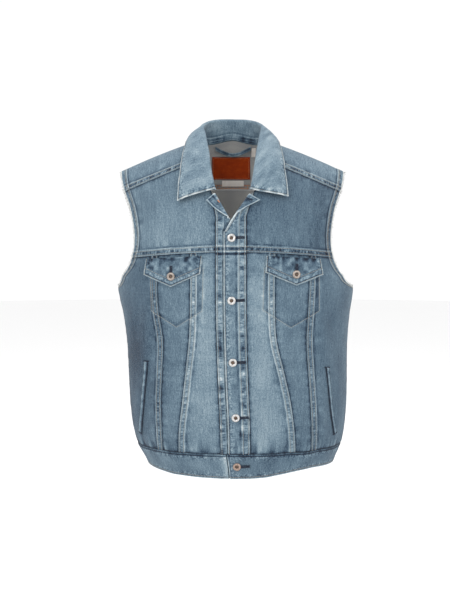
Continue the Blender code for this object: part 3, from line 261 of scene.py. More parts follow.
# Creases, placed one by one: as for folds, and then a bow that bends the crease sideways at its
# ends.
CREASES = (
    (-1, -172, -150, 38, 74, 5.5, -1.3, 6),
    (-1, -150, -128, 46, 58, 5.0, -0.9, 4),
    (-1, -120, -185, 22, 66, 6.0, 0.9, -5),
    (-1, -62, -170, 8, 84, 7.0, -0.8, 4),
    (-1, -96, -212, 62, 52, 5.0, -0.8, 3),
    (-1, 166, -146, -42, 82, 5.5, -1.4, -7),
    (-1, 138, -132, -50, 52, 5.0, -0.9, -4),
    (-1, 122, -190, -18, 60, 6.0, 0.9, 4),
    (-1, 64, -172, -10, 80, 7.0, -0.8, -4),
    (-1, 92, -208, -66, 46, 5.0, -0.7, 3),
    (-1, -206, -318, 58, 62, 6.0, -1.8, 6),
    (-1, -190, -345, 64, 78, 7.0, 1.4, 8),
    (-1, -203, -372, 72, 60, 5.5, -1.3, 5),
    (-1, -182, -402, 80, 54, 6.0, 0.9, -4),
    (-1, 212, -322, -56, 66, 6.0, -1.8, -6),
    (-1, 194, -352, -66, 72, 7.0, 1.4, -8),
    (-1, 208, -384, -74, 58, 5.5, -1.2, -5),
    (-1, 180, -412, -82, 50, 6.0, 0.9, 4),
    (-1, -168, -470, 14, 60, 5.0, -1.6, 3),
    (-1, -172, -520, 10, 92, 4.5, -1.8, -3),
    (-1, -200, -548, 8, 74, 5.0, 1.5, 3),
    (-1, -176, -596, 22, 50, 5.0, -1.5, 4),
    (-1, -203, -604, 40, 44, 5.0, -1.4, 3),
    (-1, 186, -500, -10, 76, 4.5, -1.8, 3),
    (-1, 222, -520, -6, 84, 5.0, 1.6, -3),
    (-1, 198, -590, -20, 56, 5.0, -1.7, -4),
    (-1, 180, -612, -46, 44, 5.0, -1.4, -3),
    (-1, 205, -622, -70, 38, 4.5, -1.5, 2),
    (-1, -66, -330, 5, 88, 7.0, -0.7, -4),
    (-1, -52, -410, -4, 96, 7.5, 0.8, 4),
    (-1, -70, -455, 30, 58, 6.0, -0.8, 4),
    (-1, -60, -548, 12, 78, 7.0, -0.9, -4),
    (-1, -92, -592, 8, 62, 5.5, -1.1, 3),
    (-1, -46, -602, -6, 56, 5.0, -1.0, 2),
    (-1, 60, -345, -4, 92, 7.0, -0.7, 4),
    (-1, 48, -420, 6, 90, 7.0, 0.8, -4),
    (-1, 78, -470, -32, 60, 6.0, -0.8, -4),
    (-1, 72, -556, -12, 84, 7.0, -1.0, 4),
    (-1, 104, -604, -14, 60, 5.5, -1.4, -3),
    (-1, 56, -612, 4, 48, 5.0, -1.1, 2),
    (-1, -112, -330, 24, 44, 5.5, -0.7, 2),
    (-1, -118, -480, 6, 88, 5.5, -1.0, 3),
    (-1, -128, -560, -4, 76, 5.0, 1.0, -3),
    (-1, -122, -612, 4, 50, 4.5, -1.3, 2),
    (-1, 118, -330, -24, 44, 5.5, -0.7, -2),
    (-1, 126, -474, -8, 92, 5.5, -1.0, -3),
    (-1, 140, -566, 2, 72, 5.0, 1.1, 3),
    (-1, 144, -618, -6, 46, 4.5, -1.5, 2),
    (-1, 150, -430, -70, 46, 6.0, -0.8, 3),
    (-1, -158, -440, 74, 50, 6.0, -0.8, 3),
    (1, -168, -150, -40, 92, 6.0, -1.6, 6),
    (1, -140, -200, -30, 84, 6.5, 1.1, 5),
    (1, -185, -250, -20, 90, 6.0, -1.5, 4),
    (1, 160, -156, 44, 88, 6.0, -1.6, -6),
    (1, 136, -214, 28, 90, 6.5, 1.1, -5),
    (1, 190, -262, 18, 84, 6.0, -1.4, -4),
    (1, -206, -330, -56, 74, 6.5, -1.8, 7),
    (1, -176, -362, -66, 88, 7.0, 1.4, 8),
    (1, -196, -400, -74, 66, 6.0, -1.4, 5),
    (1, 208, -336, 58, 70, 6.5, -1.8, -7),
    (1, 182, -370, 64, 84, 7.0, 1.4, -8),
    (1, 200, -412, 72, 60, 6.0, -1.3, -5),
    (1, -60, -190, -8, 110, 8.0, -0.9, 5),
    (1, 52, -210, 10, 120, 8.0, -0.9, -5),
    (1, 0, -330, 3, 130, 8.0, 0.9, 4),
    (1, -34, -520, -6, 120, 7.0, -1.1, 4),
    (1, 46, -560, 8, 110, 7.0, -1.2, -4),
    (1, -120, -470, -6, 120, 6.5, -1.2, 4),
    (1, -150, -560, -3, 96, 5.5, 1.2, 3),
    (1, 112, -500, 5, 116, 6.5, -1.2, -4),
    (1, 152, -580, 4, 88, 5.5, 1.3, -3),
    (1, -190, -600, -24, 60, 5.0, -1.5, 3),
    (1, 196, -604, 24, 58, 5.0, -1.6, -3),
    (1, -92, -618, -4, 56, 5.0, -1.4, 2),
    (1, 88, -620, 4, 52, 5.0, -1.3, 2),
    (1, 10, -622, 2, 50, 5.0, -1.2, 2),
)

# Corners of the stitched outlines of the chest pockets. The cloth is worn pale along them, and beside
# them, where it sinks, it is darkened and mottled with painted shade.
POCKETS = {
    "r": ((-166.3, -262.0), (-163.7, -350.6), (-113.5, -382.0), (-61.4, -348.4), (-59.0, -262.0)),
    "l": ((63.0, -262.0), (60.2, -346.3), (116.7, -382.5), (174.7, -350.3), (174.0, -262.0)),
}
POCKET_WORN = 0.13
POCKET_SUNK_SHADE = 0.13
# Places where the cloth is paler (above 0) or darker: side, X, height, reach across and along, amount.
# The darker ones at the sides and near the armholes, where the body rounds away, just below the chest
# seam and just above the hem seam are painted shade; the others are the wash.
TONES_AND_SHADE = (
    (-1, -62, -380, 40, 150, 0.10),
    (-1, -60, -540, 45, 90, 0.07),
    (-1, 60, -400, 32, 160, 0.11),
    (-1, 62, -560, 40, 70, 0.06),
    (-1, -110, -190, 70, 50, 0.07),
    (-1, 110, -190, 60, 50, 0.03),
    (-1, 190, -180, 30, 70, -0.06),
    (-1, -185, -170, 24, 60, -0.02),
    (-1, -190, -400, 40, 90, -0.07),
    (-1, 196, -400, 42, 90, -0.04),
    (-1, -205, -480, 40, 130, -0.16),
    (-1, 212, -540, 36, 100, -0.04),
    (-1, -40, -500, 60, 60, -0.03),
    (-1, -118, -400, 26, 70, -0.03),
    (-1, -150, -262, 40, 22, -0.05),
    (-1, 120, -262, 50, 22, -0.08),
    (-1, 0, -640, 240, 16, -0.05),
    (1, 0, -220, 90, 80, 0.07),
    (1, -90, -60, 60, 40, 0.04),
    (1, 90, -60, 60, 40, 0.04),
    (1, -30, -440, 60, 120, 0.05),
    (1, 195, -460, 50, 160, -0.08),
    (1, -195, -460, 50, 160, -0.08),
    (1, 0, -640, 240, 18, -0.05),
)


def ease(value, low, high):
    t = np.clip((value - low) / (high - low), 0, 1)
    return t * t * (3 - 2 * t)


def bell(value, middle, width):
    return np.exp(-np.square((value - middle) / width))


def wobble(s, pitch, seed):
    """Smooth random values from -1 to 1 along s, with a new one about every pitch."""
    values = np.random.default_rng(seed).uniform(-1, 1, 2048)
    place = np.asarray(s, float) / pitch + 700.0
    cell = np.floor(place).astype(int)
    t = place - cell
    t = t * t * (3 - 2 * t)
    return values[cell % 2048] * (1 - t) + values[(cell + 1) % 2048] * t


def rumple(h, v, pitch, seed):
    """Smooth random values from -1 to 1 over the cloth."""
    values = np.random.default_rng(seed).uniform(-1, 1, (256, 256))
    a, b = np.asarray(h) / pitch + 90.0, np.asarray(v) / pitch + 90.0
    i, j = np.floor(a).astype(int), np.floor(b).astype(int)
    s, t = a - i, b - j
    s, t = s * s * (3 - 2 * s), t * t * (3 - 2 * t)
    near = values[i % 256, j % 256] * (1 - t) + values[i % 256, (j + 1) % 256] * t
    far = values[(i + 1) % 256, j % 256] * (1 - t) + values[(i + 1) % 256, (j + 1) % 256] * t
    return near * (1 - s) + far * s


def relief(x, z, side):
    """How far the folds and creases lift the cloth at a place."""
    x, z, side = np.broadcast_arrays(x, z, side)
    lift = np.zeros(x.shape)
    broad = [fold + (0.0,) for fold in FOLDS]
    for fold_side, fx, fz, tilt, length, width, rise, bow in broad + list(CREASES):
        a = math.radians(tilt)
        dx, dz = x - fx, z - fz
        along = dz * math.cos(a) + dx * math.sin(a)
        reach = np.clip(1 - np.square(2 * along / length), 0, 1)
        across = dx * math.cos(a) - dz * math.sin(a) + bow * (1 - reach)
        lift += np.where(side == fold_side, rise * np.exp(-np.square(across / width)) * reach**2, 0)
    lift += 0.35 * rumple(x, z, 46.0, 5) + 0.22 * rumple(x, z, 17.0, 6)
    return lift * np.clip((FOLD_TOP - z) / FOLD_FADE, 0, 1)


def outline_distance(x, z, corners):
    """Distance from a line through corners, positive on its inner side."""
    place = np.stack((x, z), -1).astype(float)
    corners = np.array(corners)
    nearest = np.full(x.shape, FAR)
    signed = np.full(x.shape, FAR)
    middle = np.array((corners[:, 0].mean(), corners[0, 1]))
    for a, b in zip(corners[:-1], corners[1:]):
        run = b - a
        share = np.clip(((place - a) @ run) / (run @ run), 0, 1)
        off = place - (a + share[..., None] * run)
        away = np.hypot(off[..., 0], off[..., 1])
        across = np.array((-run[1], run[0])) / np.hypot(*run)
        if across @ (middle - a) < 0:
            across = -across
        closer = away < nearest
        signed = np.where(closer, away * np.where(off @ across < 0, -1, 1), signed)
        nearest = np.minimum(nearest, away)
    return signed


def tone_and_shade_at(x, z, side):
    """How much paler (above 0) or darker the cloth is: the wash and the worn places, with painted shade
    on the sides, beside seams and beside the pockets.
    """
    tone = np.zeros(np.broadcast(x, z).shape)
    for spot_side, sx, sz, reach_x, reach_z, amount in TONES_AND_SHADE:
        near = np.exp(-np.square((x - sx) / reach_x) - np.square((z - sz) / reach_z))
        tone += np.where(side == spot_side, amount * near, 0)
    if np.min(side) > 0:
        return tone
    x, z = np.broadcast_arrays(x, z)
    for corners in POCKETS.values():
        away = np.where(side < 0, outline_distance(x, z, corners), FAR)
        # Pale wear along each pocket's outline, and painted shade where the cloth sinks beside it.
        tone += POCKET_WORN * bell(away, -1.5, 2.0) - POCKET_SUNK_SHADE * bell(away, 3.5, 3.0)
        tone += 0.5 * POCKET_SUNK_SHADE * rumple(x, z, 9.0, 95) * bell(away, 6.0, 6.0)
    return tone


def wrap_raw(angle, z):
    """Point at an angle round the garment: 0 is the middle of the front, 90 degrees is +X."""
    side = np.where(np.cos(angle) >= 0, -1, 1)
    x = section("centre", z) + section("half_width", z) * np.sin(angle)
    return np.stack(np.broadcast_arrays(x, surface_y(x, z, side), z), -1), side


def skin(angle, z):
    """The cloth's outer face and its normal at an angle and a height, with its creases."""
    angle, z = np.broadcast_arrays(np.asarray(angle, float), np.asarray(z, float))
    turn, rise = 0.002, 0.5
    point, side = wrap_raw(angle, z)
    round_about = wrap_raw(angle + turn, z)[0] - wrap_raw(angle - turn, z)[0]
    upward = wrap_raw(angle, z + rise)[0] - wrap_raw(angle, z - rise)[0]
    normal = unit(np.cross(round_about, upward))
    out = relief(point[..., 0], z, side) * np.abs(np.cos(angle)) ** 0.5
    return point + normal * out[..., None], normal


def angle_at(x, z, side=-1):
    """Angle round the garment of the point at x and z on the front or the back."""
    u = np.clip((x - section("centre", z)) / section("half_width", z), -1, 1)
    a = np.arcsin(u)
    return a if side < 0 else math.pi - a


def front_skin(x, z):
    """The outer face and its normal on the front, at x and z."""
    return skin(angle_at(x, z), z)


def on_front(x, z, lift=0.0):
    """A point on the front, lifted off the cloth."""
    point, normal = front_skin(x, z)
    return point + normal * np.asarray(lift)[..., None]


# The cloth that goes over the shoulders, kept as a table of points: x across, and w along it
# from the shoulder line, positive behind.
PROFILE_DEPTH = 190.0
PROFILE_STEPS = 400
OVER_STEP_X = 2.0
OVER_X = np.arange(-264.0, 264.1, OVER_STEP_X)
OVER_W = np.arange(-190.0, 190.1, 1.0)


def profile(x, side):
    """Falls below the shoulder line, depths and lengths along the cloth at x."""
    falls = PROFILE_DEPTH * np.linspace(0, 1, PROFILE_STEPS) ** 2
    heights = ridge(x) - falls
    depths = surface_y(x, heights, side)
    depths[0] = RIDGE_Y
    length = np.concatenate(([0], np.cumsum(np.hypot(np.diff(depths), np.diff(heights)))))
    return falls, depths, length


def over_table():
    """Points and normals of the cloth over the shoulders, for every x and w of the table."""
    points = np.empty((len(OVER_X), len(OVER_W), 3))
    for i, x in enumerate(OVER_X):
        for side in (-1, 1):
            chosen = OVER_W * side >= 0
            falls, depths, length = profile(x, side)
            w = np.abs(OVER_W[chosen])
            points[i, chosen, 0] = x
            points[i, chosen, 1] = np.interp(w, length, depths)
            points[i, chosen, 2] = ridge(x) - np.interp(w, length, falls)
    return points, unit(np.cross(np.gradient(points, axis=0), np.gradient(points, axis=1)))


OVER_POINTS, OVER_NORMALS = over_table()


def over_skin(x, w):
    """The cloth's outer face and its normal on the shoulders."""
    x, w = np.broadcast_arrays(np.asarray(x, float), np.asarray(w, float))
    a = np.clip((x - OVER_X[0]) / OVER_STEP_X, 0, len(OVER_X) - 1.001)
    b = np.clip(w - OVER_W[0], 0, len(OVER_W) - 1.001)
    i, j = a.astype(int), b.astype(int)
    s, t = (a - i)[..., None], (b - j)[..., None]
    found = []
    for grid in (OVER_POINTS, OVER_NORMALS):
        near = grid[i, j] * (1 - t) + grid[i, j + 1] * t
        far = grid[i + 1, j] * (1 - t) + grid[i + 1, j + 1] * t
        found.append(near * (1 - s) + far * s)
    point, normal = found
    out = relief(x, point[..., 2], np.where(w >= 0, 1, -1))
    return point + normal * out[..., None], normal


def over(x, w, lift=0.0):
    """A point on the shoulders, lifted off the cloth."""
    point, normal = over_skin(x, w)
    return point + normal * np.asarray(lift)[..., None]


def profile_distance(x, z, side):
    """The w of the point at height z on the profile at x."""
    falls, _, length = profile(x, side)
    return side * float(np.interp(ridge(x) - z, falls, length))


def distance_at_depth(x, y):
    """The w behind the shoulder line where the profile at x reaches the depth y."""
    _, depths, length = profile(x, 1)
    return float(np.interp(y, np.maximum.accumulate(depths), length))


# Cloth pieces. Each edge of a piece has a kind: a fell is a folded ridge with two rows of
# stitches, a seam runs into a neighbour's fell, a gather is a seam that puckers, a rim is a
# free turned edge, a band is the stitched armhole edge, and open has nothing on it. A kind goes
# with a seed for its puckers and the distance of its stitch row or, for a fell, its width.
# Panels that meet at a seam have the same seed there. In edge_lift each number before a bell or
# a wobble is a height in millimetres, and those inside it are places and widths.


def edge_lift(kind, d, s, seed, width):
    """How far an edge of this kind lifts the cloth at the distance d from it, s along it."""
    rough = wobble(s, 6.5, seed)
    if kind == "fell":
        second = width - FIRST_ROW
        lift = FELL_RISE * (1 - ease(d, width - 0.6, width + 1.2))
        lift -= 0.45 * (bell(d, FIRST_ROW, 1.0) + bell(d, second, 1.0))
        lift += 0.4 * rough * bell(d, width / 2, width / 4)
        beyond = np.exp(-np.clip(d - width, 0, None) / 6) * (d > width)
        return lift + 0.6 * wobble(s, 11.0, seed + 1) * beyond
    if kind == "seam":
        return (0.55 * rough - 0.3) * np.exp(-d / 5)
    if kind == "gather":
        deep = wobble(s, 15.0, seed + 2) + 0.5 * wobble(s, 7.0, seed + 3)
        return -0.8 * np.exp(-d / 2.5) + 1.1 * deep * np.exp(-np.square(d / 24)) * ease(d, 0, 4)
    if kind == "rim":
        lift = -0.5 * bell(d, 0, 0.8) + 0.25 * bell(d, 1.2, 1.0) - 0.4 * bell(d, width, 1.0)
        return lift + 0.35 * rough * bell(d, 7.0, 4.5)
    if kind == "band":
        lift = 0.6 * (1 - ease(d, BAND_WIDTH - 0.6, BAND_WIDTH + 1.0)) - 0.5 * bell(d, width, 1.1)
        lift -= 0.35 * bell(d, BAND_ROWS[1], 0.9)
        lift += 0.4 * rough * bell(d, 6.5, 4)
        return lift + 0.5 * wobble(s, 13.0, seed + 1) * bell(d, 20, 7)
    return np.zeros(np.shape(d))


def distances(point):
    """How far each place lies from the grid's four edges, measured along the cloth."""
    across = np.linalg.norm(np.diff(point, axis=1), axis=2)
    across = np.concatenate((np.zeros((point.shape[0], 1)), np.cumsum(across, axis=1)), axis=1)
    down = np.linalg.norm(np.diff(point, axis=0), axis=2)
    down = np.concatenate((np.zeros((1, point.shape[1])), np.cumsum(down, axis=0)))
    return {
        "left": across,
        "right": across[:, -1:] - across,
        "top": down,
        "bottom": down[-1:] - down,
    }


def wall_faces(rows, columns):
    """Faces of the closed wall between two grids, and how many lie on its outer face. As many
    on its inner face follow them."""
    under = rows * columns
    i, j = np.meshgrid(np.arange(rows - 1), np.arange(columns - 1), indexing="ij")
    a = (i * columns + j).ravel()
    front = np.stack((a, a + 1, a + columns + 1, a + columns), 1)
    back = front[:, ::-1] + under
    faces = [front, back]
    j = np.arange(columns - 1)
    last = (rows - 1) * columns
    faces.append(np.stack((j, j + under, j + 1 + under, j + 1), 1))
    faces.append(np.stack((last + j, last + j + 1, last + j + 1 + under, last + j + under), 1))
    i = np.arange(rows - 1) * columns
    faces.append(np.stack((i, i + columns, i + columns + under, i + under), 1))
    i = i + columns - 1
    faces.append(np.stack((i, i + under, i + columns + under, i + columns), 1))
    return np.concatenate(faces), len(front)


def make_mesh(name, points, faces):
    mesh = bpy.data.meshes.new(name)
    mesh.from_pydata((np.asarray(points) * MM).tolist(), [], faces)
    mesh.update()
    mesh.shade_smooth()
    made = bpy.data.objects.new(name, mesh)
    bpy.context.scene.collection.objects.link(made)
    return made


def make_wall(name, outer, inner, turned=False):
    """A closed wall between two grids of points, and the place of each face's material: 1 on
    the inner face and 0 elsewhere."""
    faces, front = wall_faces(*outer.shape[:2])
    if turned:
        faces = faces[:, ::-1]
    points = np.concatenate((outer.reshape(-1, 3), inner.reshape(-1, 3)))
    made = make_mesh(name, points, faces.tolist())
    index = np.zeros(len(faces), np.int32)
    index[front : 2 * front] = 1
    return made, index


def add_attribute(mesh, name, values):
    """Keep three values for each place of a wall, alike on both of its faces."""
    held = mesh.attributes.new(name, "FLOAT_VECTOR", "POINT")
    both = np.tile(np.stack(values, -1).reshape(-1, 3), (2, 1))
    held.data.foreach_set("vector", np.asarray(both, np.float32).ravel())


def finish_piece(made, nodes):
    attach(made, "root")
    if nodes:
        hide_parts(*nodes)
    return made


# Where the cloth stands out from what is round it, it is worn pale; where it lies lower, in dips and
# folds, it is darkened with painted shade.
WEAR_AND_SHADE = 0.34
WEAR_AND_SHADE_LIMIT = 0.75
WEAR_AND_SHADE_ROUNDS = 8
INNER_SHARE = 0.35
SHARP_ANGLE = 45.0


def wear_and_shade(height):
    """Positive where the cloth stands out from what is round it, where it is worn pale, and negative
    where it lies lower, where it gets painted shade.
    """
    height = np.asarray(height, float)
    soft = height
    for _ in range(WEAR_AND_SHADE_ROUNDS):
        soft = np.pad(soft, 1, mode="edge")
        soft = (soft[:-2] + 2 * soft[1:-1] + soft[2:]) / 4
        soft = (soft[:, :-2] + 2 * soft[:, 1:-1] + soft[:, 2:]) / 4
    return np.clip(height - soft, -WEAR_AND_SHADE_LIMIT, WEAR_AND_SHADE_LIMIT)


class Cloth:
    """One cut piece: a closed wall on a grid, with what its seams need."""

    def __init__(self, name, grid, places, kinds, cloth, tone, lift=0.0, inner=None, calm=1.0):
        base, normal = grid
        self.name, self.normal = name, normal
        self.h, self.v = places
        self.d = distances(base)
        raised = np.zeros(base.shape[:2])
        marks = ("fell_v", "fell_h", "seam_v", "seam_h", "rim", "band")
        seams = {mark: np.full(base.shape[:2], FAR) for mark in marks}
        for edge in EDGES:
            kind, seed, width = (tuple(kinds.get(edge, ("open", 0))) + (FELL_WIDTH,))[:3]
            upright = edge in ("left", "right")
            raised += edge_lift(kind, self.d[edge], self.v if upright else self.h, seed, width)
            way = "_v" if upright else "_h"
            mark = {"fell": "fell" + way, "seam": "seam" + way, "gather": "seam" + way}.get(kind, kind)
            if mark in seams:
                share = FELL_WIDTH / width if kind == "fell" else 1.0
                seams[mark] = np.minimum(seams[mark], self.d[edge] * share)
        raised = raised * calm
        self.outer = base + normal * (raised + lift)[..., None]
        if inner is None:
            inner = base + normal * (raised * INNER_SHARE + lift - cloth)[..., None]
        self.inner = inner
        facing = np.cross(base[:-1, 1:] - base[:-1, :-1], base[1:, :-1] - base[:-1, :-1])
        turned = np.sum(facing * normal[:-1, :-1]) < 0
        self.made, index = make_wall(name + "_cloth", self.outer, self.inner, turned)
        mesh = self.made.data
        # Raised cloth worn paler, and lower cloth darkened with painted shade.
        tone = tone + WEAR_AND_SHADE * wear_and_shade(raised + lift)
        add_attribute(mesh, "cloth", (self.h, self.v, tone))
        add_attribute(mesh, "seams", [seams[mark] for mark in marks[:3]])
        add_attribute(mesh, "rims", [seams[mark] for mark in marks[3:]])
        mesh.polygons.foreach_set("material_index", index)
        mesh.set_sharp_from_angle(angle=math.radians(SHARP_ANGLE))

    def dress(self, face, back, held="draped", rests=(), slot="denim"):
        self.made.data.materials.append(face)
        self.made.data.materials.append(back)
        finish_piece(self.made, (self.name,))

    def line(self, edge, distance, inside=False):
        """Points and normals along an edge of the piece, at a distance from it."""
        grids = (self.d[edge], self.inner if inside else self.outer)
        grids += (-self.normal if inside else self.normal,)
        if edge in ("top", "bottom"):
            grids = [np.swapaxes(grid, 0, 1) for grid in grids]
        points, normals = [], []
        for run, at, way in zip(*grids):
            order = np.argsort(run)
            points.append(line_at(distance, run[order], at[order]))
            normals.append(line_at(distance, run[order], way[order]))
        return np.array(points), np.array(normals)


def draw_in(grid, amount=SEAM_GAP / 2):
    """Draw a grid's four edges in, which leaves the gap at its seams."""
    moved = grid.copy()
    for edge, beside in ((0, 1), (-1, -2)):
        way = grid[beside] - grid[edge]
        moved[edge] += amount * way / np.linalg.norm(way, axis=-1, keepdims=True)
    base = moved.copy()
    for edge, beside in ((0, 1), (-1, -2)):
        way = base[:, beside] - base[:, edge]
        moved[:, edge] += amount * way / np.linalg.norm(way, axis=-1, keepdims=True)
    return moved


def near_edge(width):
    """Distances of the close columns beside an edge."""
    close = (0, 0.9, 1.8, FIRST_ROW, 3.6, 5.2, width / 2)
    beside_fold = (width - 4.4, width - FIRST_ROW, width - 1.2, width, width + 1.4)
    return np.array(close + beside_fold)


NEAR_FELL = near_edge(FELL_WIDTH)
NEAR_SEAM = np.array((0, 1.0, 2.2, 4.0, 6.2))
SPACING = 3.0
BACK_SPACING = 3.4

# Lower panels: rows of equal share between the chest level and the hem seam.
ARMHOLE_ROWS = 34
BELOW_ROWS = 96
RISE_ROWS = 40
RISE_LENGTH = 120.0
ARC = 235.0


def chest_height(u):
    return CHEST_SEAM - CHEST_DROP * u**2


def yoke_height(u):
    return YOKE_SEAM - YOKE_DROP * u**2


def hem_seam_height(u):
    return HEM_SEAM + HEM_RAISE * u**2


def row_height(share, u):
    """Height of a row at u, the share of the half width. A row's share is 0 at the chest and 1
    at the hem, and shares below 0 climb to the back yoke."""
    chest, hem = chest_height(u), hem_seam_height(u)
    down, up = chest + (hem - chest) * share, chest + (chest - yoke_height(u)) * share
    return np.where(share >= 0, down, up)


def body_shares():
    """Shares of the way from chest level (0) to hem (1), closer together at the armhole's end."""
    whole = HEM_SEAM + HEM_RAISE - CHEST_SEAM + CHEST_DROP
    share = (ARMHOLE_BOTTOM - CHEST_SEAM + CHEST_DROP) / whole
    above = share * np.sin(np.linspace(0, math.pi / 2, ARMHOLE_ROWS))
    foot = NEAR_SEAM[::-1] / abs(whole)
    below = np.linspace(share, 1 - foot[0], BELOW_ROWS)[1:-1]
    return np.concatenate((above, below, 1 - foot))


def seam_angle(column, z):
    return angle_at(front_seam(column, z), z)


def placket_angle(offset, z):
    return angle_at(section("placket", z) + offset, z)


def back_angle(hand, z):
    return hand * angle_at(table(BACK_SEAM_COLUMNS, BACK_SEAMS, "back", z), z, 1)


def far_back_angle(z):
    return 2 * math.pi - back_angle(1, z)


def armhole_angle(side, hand, z):
    """Angle of the armhole's edge, or of the side seam under it."""
    column = "front" if side < 0 else "back"
    top = ARMHOLE[-1][0]
    held = np.maximum(z, top)
    angle = np.abs(angle_at(hand * table(ARMHOLE_COLUMNS, ARMHOLE, column, held), held, -1))
    share = np.clip((top - z) / (top - ARMHOLE_BOTTOM), 0, 1)
    angle = angle + (math.pi / 2 - angle) * (1 - np.sqrt(1 - share**2))
    return hand * (angle if side < 0 else math.pi - angle)


def lower_panel(name, start, end, side, kinds, shares, tone, spacing=SPACING):
    """Panel between two seams, which start and end give as functions of the height."""
    folded = ("fell", "band")
    near = [NEAR_FELL if kinds[e][0] in folded else NEAR_SEAM for e in ("left", "right")]
    z0 = float(row_height(0.5, 0.0))
    wide = abs(float(end(z0)) - float(start(z0))) * ARC
    cells = max(6, int((wide - near[0][-1] - near[1][-1]) / spacing))
    angles, heights = [], []
    for share in shares:
        z0 = row_height(share, 0.0)
        a, b = float(start(z0)), float(end(z0))
        for _ in range(4):
            za, zb = row_height(share, math.sin(a)), row_height(share, math.sin(b))
            a, b = float(start(za)), float(end(zb))
        middle = 0.5 * (a + b)
        zm = float(row_height(share, math.sin(middle)))
        chord = wrap_raw(np.array([middle + 0.01, middle - 0.01]), zm)[0]
        scale = np.linalg.norm(chord[0] - chord[1]) / 0.02
        way = 1 if b > a else -1
        first, last = a + way * near[0] / scale, (b - way * near[1] / scale)[::-1]
        row = np.concatenate((first, np.linspace(first[-1], last[0], cells + 1)[1:-1], last))
        angles.append(row)
        heights.append(row_height(share, np.sin(row)))
    angles, heights = np.array(angles), np.array(heights)
    point, normal = skin(angles, heights)
    tone = tone + tone_and_shade_at(point[..., 0], heights, side)
    piece = Cloth(name, (draw_in(point), normal), (angles * ARC, heights), kinds, DENIM, tone)
    piece.grid = (angles, heights)
    return piece


def placket_offset(hand):
    """From the upper placket's free edge to the seam between a front and its placket."""
    return PLACKET_WIDTH if hand > 0 else -UNDER_SHOWS


def make_lower_panels():
    """Fronts and back below the chest seam and the back yoke."""
    made = {}
    shares = body_shares()
    chest, yoke, hem = ("seam", 300), ("seam", 400), ("gather", 310)
    for hand, letter in HANDS:
        seed = 320 if hand > 0 else 340
        starts = (
            partial(placket_angle, placket_offset(hand)),
            partial(seam_angle, "inner_" + letter),
            partial(seam_angle, "outer_" + letter),
            partial(armhole_angle, -1, hand),
        )
        plan = (
            ("front_centre_", ("seam", seed), ("fell", seed + 1), 0.06),
            ("front_mid_", ("seam", seed + 1), ("seam", seed + 2), -0.01),
            ("front_side_", ("fell", seed + 2), ("band", seed + 3, BAND_ROWS[0]), -0.04),
        )
        for (name, left, right, tone), start, end in zip(plan, starts[:-1], starts[1:]):
            kinds = {"left": left, "right": right, "top": chest, "bottom": hem}
            made[name + letter] = lower_panel(name + letter, start, end, -1, kinds, shares, tone)
    first = 1 - NEAR_SEAM[-1] / RISE_LENGTH
    rise = np.concatenate((1 - NEAR_SEAM / RISE_LENGTH, np.linspace(first, 0, RISE_ROWS)[1:-1]))
    shares = np.concatenate((-rise, shares))
    plan = []
    for hand, letter in HANDS:
        seed = 360 if hand > 0 else 380
        ends = (partial(back_angle, hand), partial(armhole_angle, 1, hand))
        left, right = ("seam", seed), ("band", seed + 1, BAND_ROWS[0])
        plan.append(("back_side_" + letter, *ends, left, right, -0.03))
    ends = (partial(back_angle, 1), far_back_angle)
    plan.append(("back_centre", *ends, ("fell", 360), ("fell", 380), 0.03))
    for name, start, end, left, right, tone in plan:
        kinds = {"left": left, "right": right, "top": yoke, "bottom": hem}
        made[name] = lower_panel(name, start, end, 1, kinds, shares, tone, BACK_SPACING)
    return made


# Yokes.
NECK_SHARE = 0.30
YOKE_END_SHARES = (1.0, 0.42, 0.31, 0.0)
YOKE_ROWS = 56
RIDGE_COLUMNS = 16
NECK_COLUMNS = 36
RIDGE_BULGE = 9.0


def along(points, shares):
    """Points at shares of the length of a line through the given points."""
    points = np.array(points, float)
    length = run_length(points)
    return line_at(np.asarray(shares) * length[-1], length, points)


def shoulder_seam_height(x):
    return SEAM_AT_NECK[1] - SHOULDER_SEAM_SLOPE * (np.abs(x) - SEAM_AT_NECK[0])


def armhole_x(z):
    return table(ARMHOLE_COLUMNS, ARMHOLE, "front", z)


def shoulder_corner():
    """Where the shoulder seam meets the armhole's front edge, at +X."""
    x = 215.0
    for _ in range(20):
        x = float(armhole_x(shoulder_seam_height(x)))
    return x, float(shoulder_seam_height(x))


def placket_line(hand, z):
    """X of the seam between a front and its placket."""
    offset = placket_offset(hand)
    straight = section("placket", z) + offset
    turn = section("placket", PLACKET_TURN) + offset
    top = hand * NECKLINE_FRONT[-1][0]
    share = np.clip((z - PLACKET_TURN) / (NECKLINE_FRONT[-1][1] - PLACKET_TURN), 0, 1)
    return np.where(z > PLACKET_TURN, turn + (top - turn) * share, straight)


def spread(width, near_first, near_last, spacing=SPACING):
    """Shares from 0 to 1 of a run width long, close together beside both ends."""
    first, last = near_first / width, 1 - near_last[::-1] / width
    cells = max(4, int((last[0] - first[-1]) * width / spacing))
    return np.concatenate((first, np.linspace(first[-1], last[0], cells + 1)[1:-1], last))


